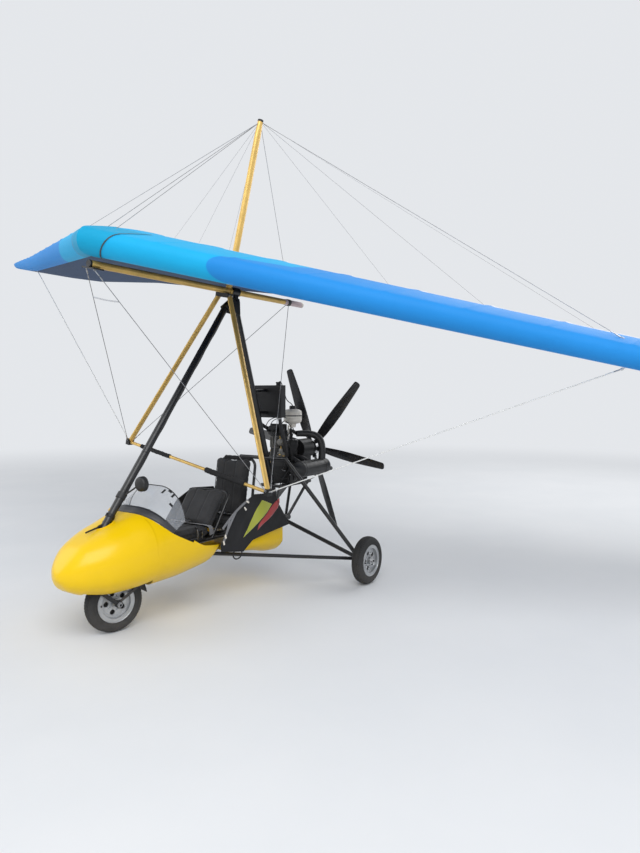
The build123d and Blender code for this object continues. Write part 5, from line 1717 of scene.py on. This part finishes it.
PANEL_LOW, PANEL_HIGH = Vector((-0.292, 0.686)), Vector((-0.262, 0.822))
GAUGES = [(-82, 0.62, 34), (0, 0.62, 34), (82, 0.62, 34), (-45, 0.2, 22), (45, 0.2, 22)]
SWITCHES = (-112, -100, 88, 100, 112)
SWITCH = [(4.2, 0.2), (4.2, 3), (1.8, 3.5), (2.4, 12), (1.2, 13)]
MIRROR_AT = (-175.5, 150, 1014.9)
MIRROR_SHELL = [(53.4, 12.2), (53, 16.5), (50, 22.5), (43, 29), (32, 33.5), (16, 35.5), (6, 35.8)]
MIRROR_RIM = [(49, 12.1), (49, 13.6), (51.2, 15), (54, 13.6), (54.5, 10), (53.6, 8)]
MIRROR_GLASS = [(49.2, 12.2), (49.2, 13), (30, 13.6), (2, 13.8)]
STRUT_FOOT = Vector((0.198, 0.510))
STRUT_WAY = Vector((-0.6029, 0.7978))
STRUT_TIE = [(27.7, 0), (28.8, 0.4), (28.8, 4.6), (27.7, 5)]
STRUT_BAND = [(27.7, 0), (32.5, 1), (33.5, 4), (33.5, 22), (32.5, 25), (27.7, 26)]
STRUT_UNION = [(5, 0), (8.5, 1), (8.5, 10), (6, 12), (6, 22), (3, 24)]
LEVERS = [
    # run, radius, knob, knob's radius
    ([(-655, 206, 530), (-650, 214, 575), (-632, 222, 628)], 5.5, (-629, 222.5, 636), 0.0155),
    ([(-700, 206, 530), (-700, 214, 565), (-690, 220, 600)], 4.5, (-688, 220.7, 606), 0.0115),
]


def panel_place(y, share):
    """Matrix on the sloping panel, its Z axis out of the panel."""
    at = PANEL_LOW.lerp(PANEL_HIGH, share)
    rise = (PANEL_HIGH - PANEL_LOW).normalized()
    up, out = Vector((rise.x, 0, rise.y)), Vector((-rise.y, 0, rise.x))
    turn = Matrix((up.cross(out), up, out)).transposed().to_4x4()
    return Matrix.Translation(trike(at.x, y / 1000, at.y)) @ turn


def bezel(radius):
    steps = (-4, 0.2), (-4, 4.5), (-2, 6.8), (1, 6.8), (2.8, 4), (3, 0.2)
    return [(radius + off, height) for off, height in steps]


def make_gauges():
    bezels, dials, marks = (bmesh.new() for _ in range(3))
    for k, (y, share, radius) in enumerate(GAUGES):
        place = panel_place(y, share)
        add_lathe(bezels, bezel(radius), place, 48, ends=False)
        add_lathe(dials, [(radius - 4.5, 0.4), (radius - 4.5, 1.6)], place, 40)
        for i in range(11):
            inner = radius * (0.60 if i % 2 == 0 else 0.68)
            add_box(marks, (inner, radius * 0.80), (-0.6, 0.6), (1.7, 2.2), place @ turned(225 - 27 * i, "Z"))
        add_box(marks, (-4, radius * 0.70), (-0.9, 0.9), (2.6, 3.2), place @ turned(205 - 23 * k, "Z"))
    for y in SWITCHES:
        add_lathe(bezels, SWITCH, panel_place(y, 0.22), 12)
    finish("gauge_bezels", bezels, "black_plastic")
    finish("gauge_faces", dials, "exhaust_black")
    finish("gauge_marks", marks, "white_plastic", None)


def add_ball(bm, centre, radius, rings):
    place = Matrix.Translation(centre)
    bmesh.ops.create_uvsphere(bm, u_segments=20, v_segments=rings, radius=radius, matrix=place)


def make_mirror():
    housing, glass = bmesh.new(), bmesh.new()
    aft = stand(*MIRROR_AT, "aft")
    add_lathe(housing, MIRROR_SHELL, stand(*MIRROR_AT, "fore"), 48)
    add_lathe(housing, MIRROR_RIM, aft, 48, ends=False)
    add_ball(housing, spot(*MIRROR_AT) + Vector((0.008, -0.018, -0.006)), 0.0125, 12)
    finish("mirror_housing", housing, "black_plastic", 40.0)
    add_lathe(glass, MIRROR_GLASS, aft, 48)
    finish("mirror_glass_face", glass, "mirror_face", 40.0)


def strut_ring(along):
    """Matrix on the front strut's axis, its Z axis up the strut."""
    at = STRUT_FOOT + STRUT_WAY * along
    foot = trike(at.x, 0, at.y)
    return frame_between(foot, foot + Vector((STRUT_WAY.x, 0, STRUT_WAY.y)))


def make_strut_trim():
    ties, loom, foot, unions = (bmesh.new() for _ in range(4))
    for along in (0.300, 0.560, 0.880, 1.200, 1.520, 1.840, 2.160):
        add_lathe(ties, STRUT_TIE, strut_ring(along), 32, ends=False)
        add_box(ties, (27, 32.5), (-3, 3), (-1, 6), strut_ring(along))
    finish("strut_ties", ties, "black_plastic")
    run = []
    for i in range(24):
        run.append(strut_ring(0.27 + 1.98 * i / 23) @ Vector((0.004 * math.sin(i * 1.7), -0.0308, 0)))
    add_tube(loom, smooth_path(run, 3), 3.6, 8)
    finish("strut_loom", loom, "hose_rubber", 50.0)
    add_lathe(foot, STRUT_BAND, strut_ring(0.345), 40, ends=False)
    for side, _ in SIDES:
        add_bolt(foot, strut_ring(0.358) @ Vector((0, side * 0.0335, 0)), (0, side, 0), 6, 5)
    finish("strut_foot_band", foot, "engine_case")
    for along, y in ((0.385, 0.024), (0.410, -0.020)):
        add_lathe(unions, STRUT_UNION, strut_ring(along) @ Matrix.Translation((0.012, y, 0)), 6)
    finish("strut_foot_unions", unions, "brass_fitting", 30.0)


def make_levers():
    levers, knobs = bmesh.new(), bmesh.new()
    for run, radius, knob, knob_radius in LEVERS:
        add_tube(levers, smooth_path([spot(*point) for point in run], 6), radius, 10)
        add_ball(knobs, spot(*knob), knob_radius, 14)
    finish("hand_levers", levers, "steel", 45.0)
    add_box(knobs, (-735, -615), (196, 216), (522, 542), notch=4)
    finish("lever_knobs", knobs, "black_plastic", 45.0)


def make_hoop_padding():
    """Foam round the rear hoop, with slow lumps along it and drawn-in ends."""
    bm = bmesh.new()
    run = [spot(-1362.4, -150 + 10 * i, 1094.1 + 0.4 * math.sin(i * 2.1)) for i in range(31)]
    lumps = [2.2 * math.sin(i * 1.9) * math.sin(i * 0.7) for i in range(31)]
    radii = [19.5 + lump - (4 if i in (0, 30) else 0) for i, lump in enumerate(lumps)]
    add_tube(bm, run, radii, 20)
    finish("hoop_padding", bm, "foam_sleeve", 60.0)


def make_cockpit():
    make_gauges()
    make_mirror()
    make_strut_trim()
    make_levers()
    make_hoop_padding()


# Wing fittings, in metres in the wing's frame

BAR_X, BAR_Z = 0.199, -1.514
BAR_REACH = 0.843
APEX_AT = 0.110
POST_X, POST_TOP = -0.025, 1.404
POST_SECTION = (0.031, 0.021)
REAR_TANG = -0.761
SIDE_ANCHOR = (-0.131, 3.125, -0.092)
GRIPS = ((-0.680, -0.290, 0.0192), (0.150, 0.595, 0.0235))
GRIP_STEPS = 70
SLEEVE_STEPS = 40
KEEL_CAP = [(25.3, 0), (26.8, 1), (26.8, 20), (25.5, 21.5), (20, 23.5)]
KEEL_PLUG = [(25.4, -12), (26.2, -11), (26.2, 1.5), (24, 3.5)]
POST_CAP = [(22.2, 0), (23.6, 1), (23.6, 16), (21.5, 18.5), (14, 19.5)]


def bar_end(side, forward=0.0, outward=0.0, up=0.0):
    return wing(BAR_X + forward, side * (BAR_REACH + outward), BAR_Z + 0.010 + up)


def nose_tang(side):
    return wing(SAIL_NOSE - 0.120, side * 0.040, -0.029)


def side_anchor(side, up=0.0):
    return wing(SIDE_ANCHOR[0], side * SIDE_ANCHOR[1], SIDE_ANCHOR[2] + up)


def make_grips():
    """Foam sleeves on the control bar, with folds and drawn-in ends."""
    bm = bmesh.new()
    for low, high, radius in GRIPS:
        rings = []
        for i in range(GRIP_STEPS + 1):
            y = low + (high - low) * i / GRIP_STEPS
            ring = []
            for k, (cos, sin) in enumerate(circle(28)):
                turn = 2 * math.pi * k / 28
                fold = math.sin(95 * y + 1.3 * math.sin(2 * turn)) * math.sin(41 * y + turn)
                r = radius + 0.0016 * fold + 0.0007 * math.sin(230 * y + 3 * turn)
                if i in (0, GRIP_STEPS):
                    r = radius * 0.86
                ring.append(wing(BAR_X + r * cos, y, BAR_Z + r * sin))
            rings.append(ring)
        add_rings(bm, rings)
    bmesh.ops.recalc_face_normals(bm, faces=bm.faces)
    finish("foam_grips", bm, "foam_sleeve", 60.0, "wing", "bar_grips")


def add_wire_end(bm, at, towards):
    """Swaged sleeve, thimble loop and shackle at a stay's end."""
    way = (towards - at).normalized()
    add_rod(bm, at + way * 0.020, at + way * 0.058, 4.6, 10, 1.0)
    add_rod(bm, at + way * 0.070, at + way * 0.094, 4.0, 10, 1.0)
    loop = frame_between(at + way * 0.010, at + way)
    add_tube(bm, [loop @ Vector((0, 0.0062 * y, 0.0105 * x)) for x, y in circle(20)], 2.2, 6, cyclic=True)


def make_stay_ends():
    bm = bmesh.new()
    top, rear = wing(POST_X, 0, POST_TOP - 0.014), wing(REAR_TANG, 0, 0)
    for side, _ in SIDES:
        nose, anchor, up = nose_tang(side), side_anchor(side), side_anchor(side, 0.150)
        outward = TO_ROW.to_3x3() @ Vector((0, side, 0))
        for at, towards in (
            (bar_end(side, 0.030), nose), (bar_end(side, -0.030), rear), (bar_end(side, 0, 0.022), anchor),
            (nose, bar_end(side, 0.025)), (wing(SAIL_NOSE - 0.098, side * 0.058, 0.150), top),
            (anchor + (bar_end(side) - anchor).normalized() * 0.010, bar_end(side)),
            (up + (top - up).normalized() * 0.050, top),
        ):
            add_wire_end(bm, at, towards)
        for forward in (-0.018, 0, 0.018):
            add_bolt(bm, bar_end(side, forward, 0.0222, 0.003), outward, 5.2, 5)
        for x in (APEX_AT - 0.018, APEX_AT + 0.018):
            add_bolt(bm, wing(x, side * 0.0702, -0.042), outward, 6, 5)
    finish("stay_ends", bm, "steel", 35.0, "wing")


def make_stays():
    """The lower stays: side pair in a white sheath, the front and rear pairs bare."""
    bare, sheathed = bmesh.new(), bmesh.new()
    for side, _ in SIDES:
        add_rod(bare, bar_end(side, 0.025), nose_tang(side), 2.6, 8)
        add_rod(bare, bar_end(side, -0.025), wing(REAR_TANG, side * 0.012, -0.020), 2.6, 8)
        add_rod(sheathed, bar_end(side, 0, 0.017), side_anchor(side), 4.2, 10)
    finish("bare_stays", bare, "wire_strand", 60.0, "wing", "lower_wires")
    finish("sheathed_stays", sheathed, "coated_wire", 60.0, "wing", "lower_wires")


def make_kingpost():
    """Streamlined post, deep fore and aft, between the keel and its cap."""
    low, high = wing(APEX_AT - 0.041, 0, 0.024), wing(POST_X, 0, POST_TOP - 0.001)
    place = frame_between(low, high)
    ahead = place.to_3x3().inverted() @ (TO_ROW.to_3x3() @ Vector((1, 0, 0)))
    spin = Matrix.Rotation(math.atan2(ahead.y, ahead.x), 4, "Z")
    length = (high - low).length
    rings = []
    for height in (0.0, 0.3, length - 0.30, length - 0.12, length):
        deep, wide = POST_SECTION if height < length else (POST_SECTION[1], POST_SECTION[1])
        rings.append([place @ spin @ Vector((deep * x, wide * y, height)) for x, y in circle(32)])
    bm = bmesh.new()
    add_rings(bm, rings)
    finish("kingpost_fairing", bm, "gold_tube", 40.0, "wing", "kingpost")


def make_luff_lines():
    """Thin lines from the kingpost's top to the trailing edge, and the taut strap between the front stays."""
    lines, strap = bmesh.new(), bmesh.new()
    for side, _ in SIDES:
        for span in LUFF_SPANS:
            foot = skin_point(side, span, sail_values(span)[0] * LUFF_SHARE, 0.001)
            add_rod(lines, wing(POST_X, 0, POST_TOP - 0.010), foot, 1.1, 6)
    finish("luff_lines", lines, "wire_strand", 60.0, "wing")
    port, starboard = (nose_tang(side).lerp(bar_end(side, 0.025), 0.13) for side in (1, -1))
    middle = port.lerp(starboard, 0.5) + Vector((0, 0, -0.004))
    add_strap(strap, [port, middle, starboard], 12, 2.0, across=(0.6, 0, 0.8))
    finish("nose_strap", strap, "white_webbing", 30.0, "wing")


def make_keel_sleeve():
    """Cloth sleeve gathered round the keel's rear end."""
    start, stop = wing(-0.700, 0, 0), wing(-0.965, 0, 0)
    place, length = frame_between(start, stop), (stop - start).length
    rings = []
    for i in range(SLEEVE_STEPS + 1):
        ring = []
        for k, (x, y) in enumerate(circle(28)):
            r = 0.0268 + 0.0012 * math.sin(i * 1.1 + 4 * math.pi * k / 28) * math.sin(i * 0.37)
            if i in (0, SLEEVE_STEPS):
                r = 0.0254
            ring.append(place @ Vector((r * x, r * y, length * i / SLEEVE_STEPS)))
        rings.append(ring)
    bm = bmesh.new()
    add_rings(bm, rings, ends=False)
    sleeve = finish("keel_sleeve", bm, "sleeve_cloth", 60.0, "wing")


def make_end_caps():
    post_low, post_high = wing(POST_X - 0.00002, 0, POST_TOP - 0.016), wing(POST_X - 0.0015, 0, POST_TOP)
    front, nose = wing(SAIL_NOSE - 0.1085, 0, 0), wing(SAIL_NOSE, 0, 0)
    for name, profile, start, end, material in (
        ("keel_end_cap", KEEL_CAP, wing(-0.964, 0, 0), wing(-1.2, 0, 0), "white_plastic"),
        ("keel_front_plug", KEEL_PLUG, front, nose, "black_plastic"),
        ("kingpost_cap", POST_CAP, post_low, post_high, "black_plastic"),
    ):
        bm = bmesh.new()
        add_lathe(bm, profile, frame_between(start, end), 32)
        finish(name, bm, material, 40.0, "wing")


def make_sail_trim():
    """Dark seams of the nose cap, tape along the trailing edge, and the luff lines' patches."""
    seams, tape = bmesh.new(), bmesh.new()
    for side, _ in SIDES:
        rows = []
        for i in range(40):
            around = CAP_BELOW + (CAP_BACK - CAP_BELOW - 0.002) * i / 39
            reach = cap_reach(side, around)
            rows.append([skin_point(side, reach + off, around, 0.0042) for off in (-0.0045, 0.0045)])
        add_grid(seams, rows)
        rows = []
        for i in range(60):
            span = 0.02 + 5.06 * i / 59
            chord = sail_values(span)[0]
            rows.append([skin_point(side, span, chord - off, 0.0016) for off in (0.004, 0.034)])
        add_grid(tape, rows)
        for span in LUFF_SPANS:
            patch = []
            for x, y in circle(16, 0.035):
                around = sail_values(span)[0] * LUFF_SHARE + y
                patch.append(tape.verts.new(skin_point(side, span + x, around, 0.0022)))
            tape.faces.new(patch)
    finish("cap_seams", seams, "screen_seal", None, "wing")
    finish("trailing_tape", tape, "white_webbing", None, "wing")


def make_wing_fittings():
    make_grips()
    make_stays()
    make_stay_ends()
    make_kingpost()
    make_luff_lines()
    make_keel_sleeve()
    make_end_caps()
    make_sail_trim()


# Finishes of the construction's own pieces

FINISHES = {
    "black_tube": [
        "keel_tube", "front_strut", "mast", "seat_frame", "lift_struts", "axle_struts", "axle_knuckles",
        "engine_mount", "fork", "hang_bracket",
    ],
    "seat_cloth": ["front_seat", "rear_seat"],
    "black_plastic": ["instrument_panel", "pitot_tube", "mirror", "wing_brackets"],
    "white_plastic": ["fuel_tank", "overflow_bottle"],
    "side_cloth": ["side_cloths"],
    "engine_case": ["engine_block", "gearbox"],
    "engine_alloy": ["carburettors"],
    "exhaust_black": ["exhaust"],
    "radiator_black": ["radiator"],
    "guard_plastic": ["mudguard"],
    "tyre_rubber": ["nose_tyre", "port_tyre", "starboard_tyre"],
    "cast_alloy": ["nose_rim", "port_rim", "starboard_rim"],
    "steel": ["prop_hub"],
    "prop_black": ["prop_blades"],
    "gold_tube": ["wing_keel", "kingpost", "downtube_port", "downtube_starboard", "basebar"],
    "foam_sleeve": ["bar_grips"],
    "wire_strand": ["lower_wires", "upper_wires"],
}

set_stage()
make_wheels()
make_seats()
make_side_cloths()
make_sail()
make_wing_fittings()
make_engine()
make_cockpit()
make_shells()
make_screen()
for material, nodes in FINISHES.items():
    for node in nodes:
        paint(node, material)
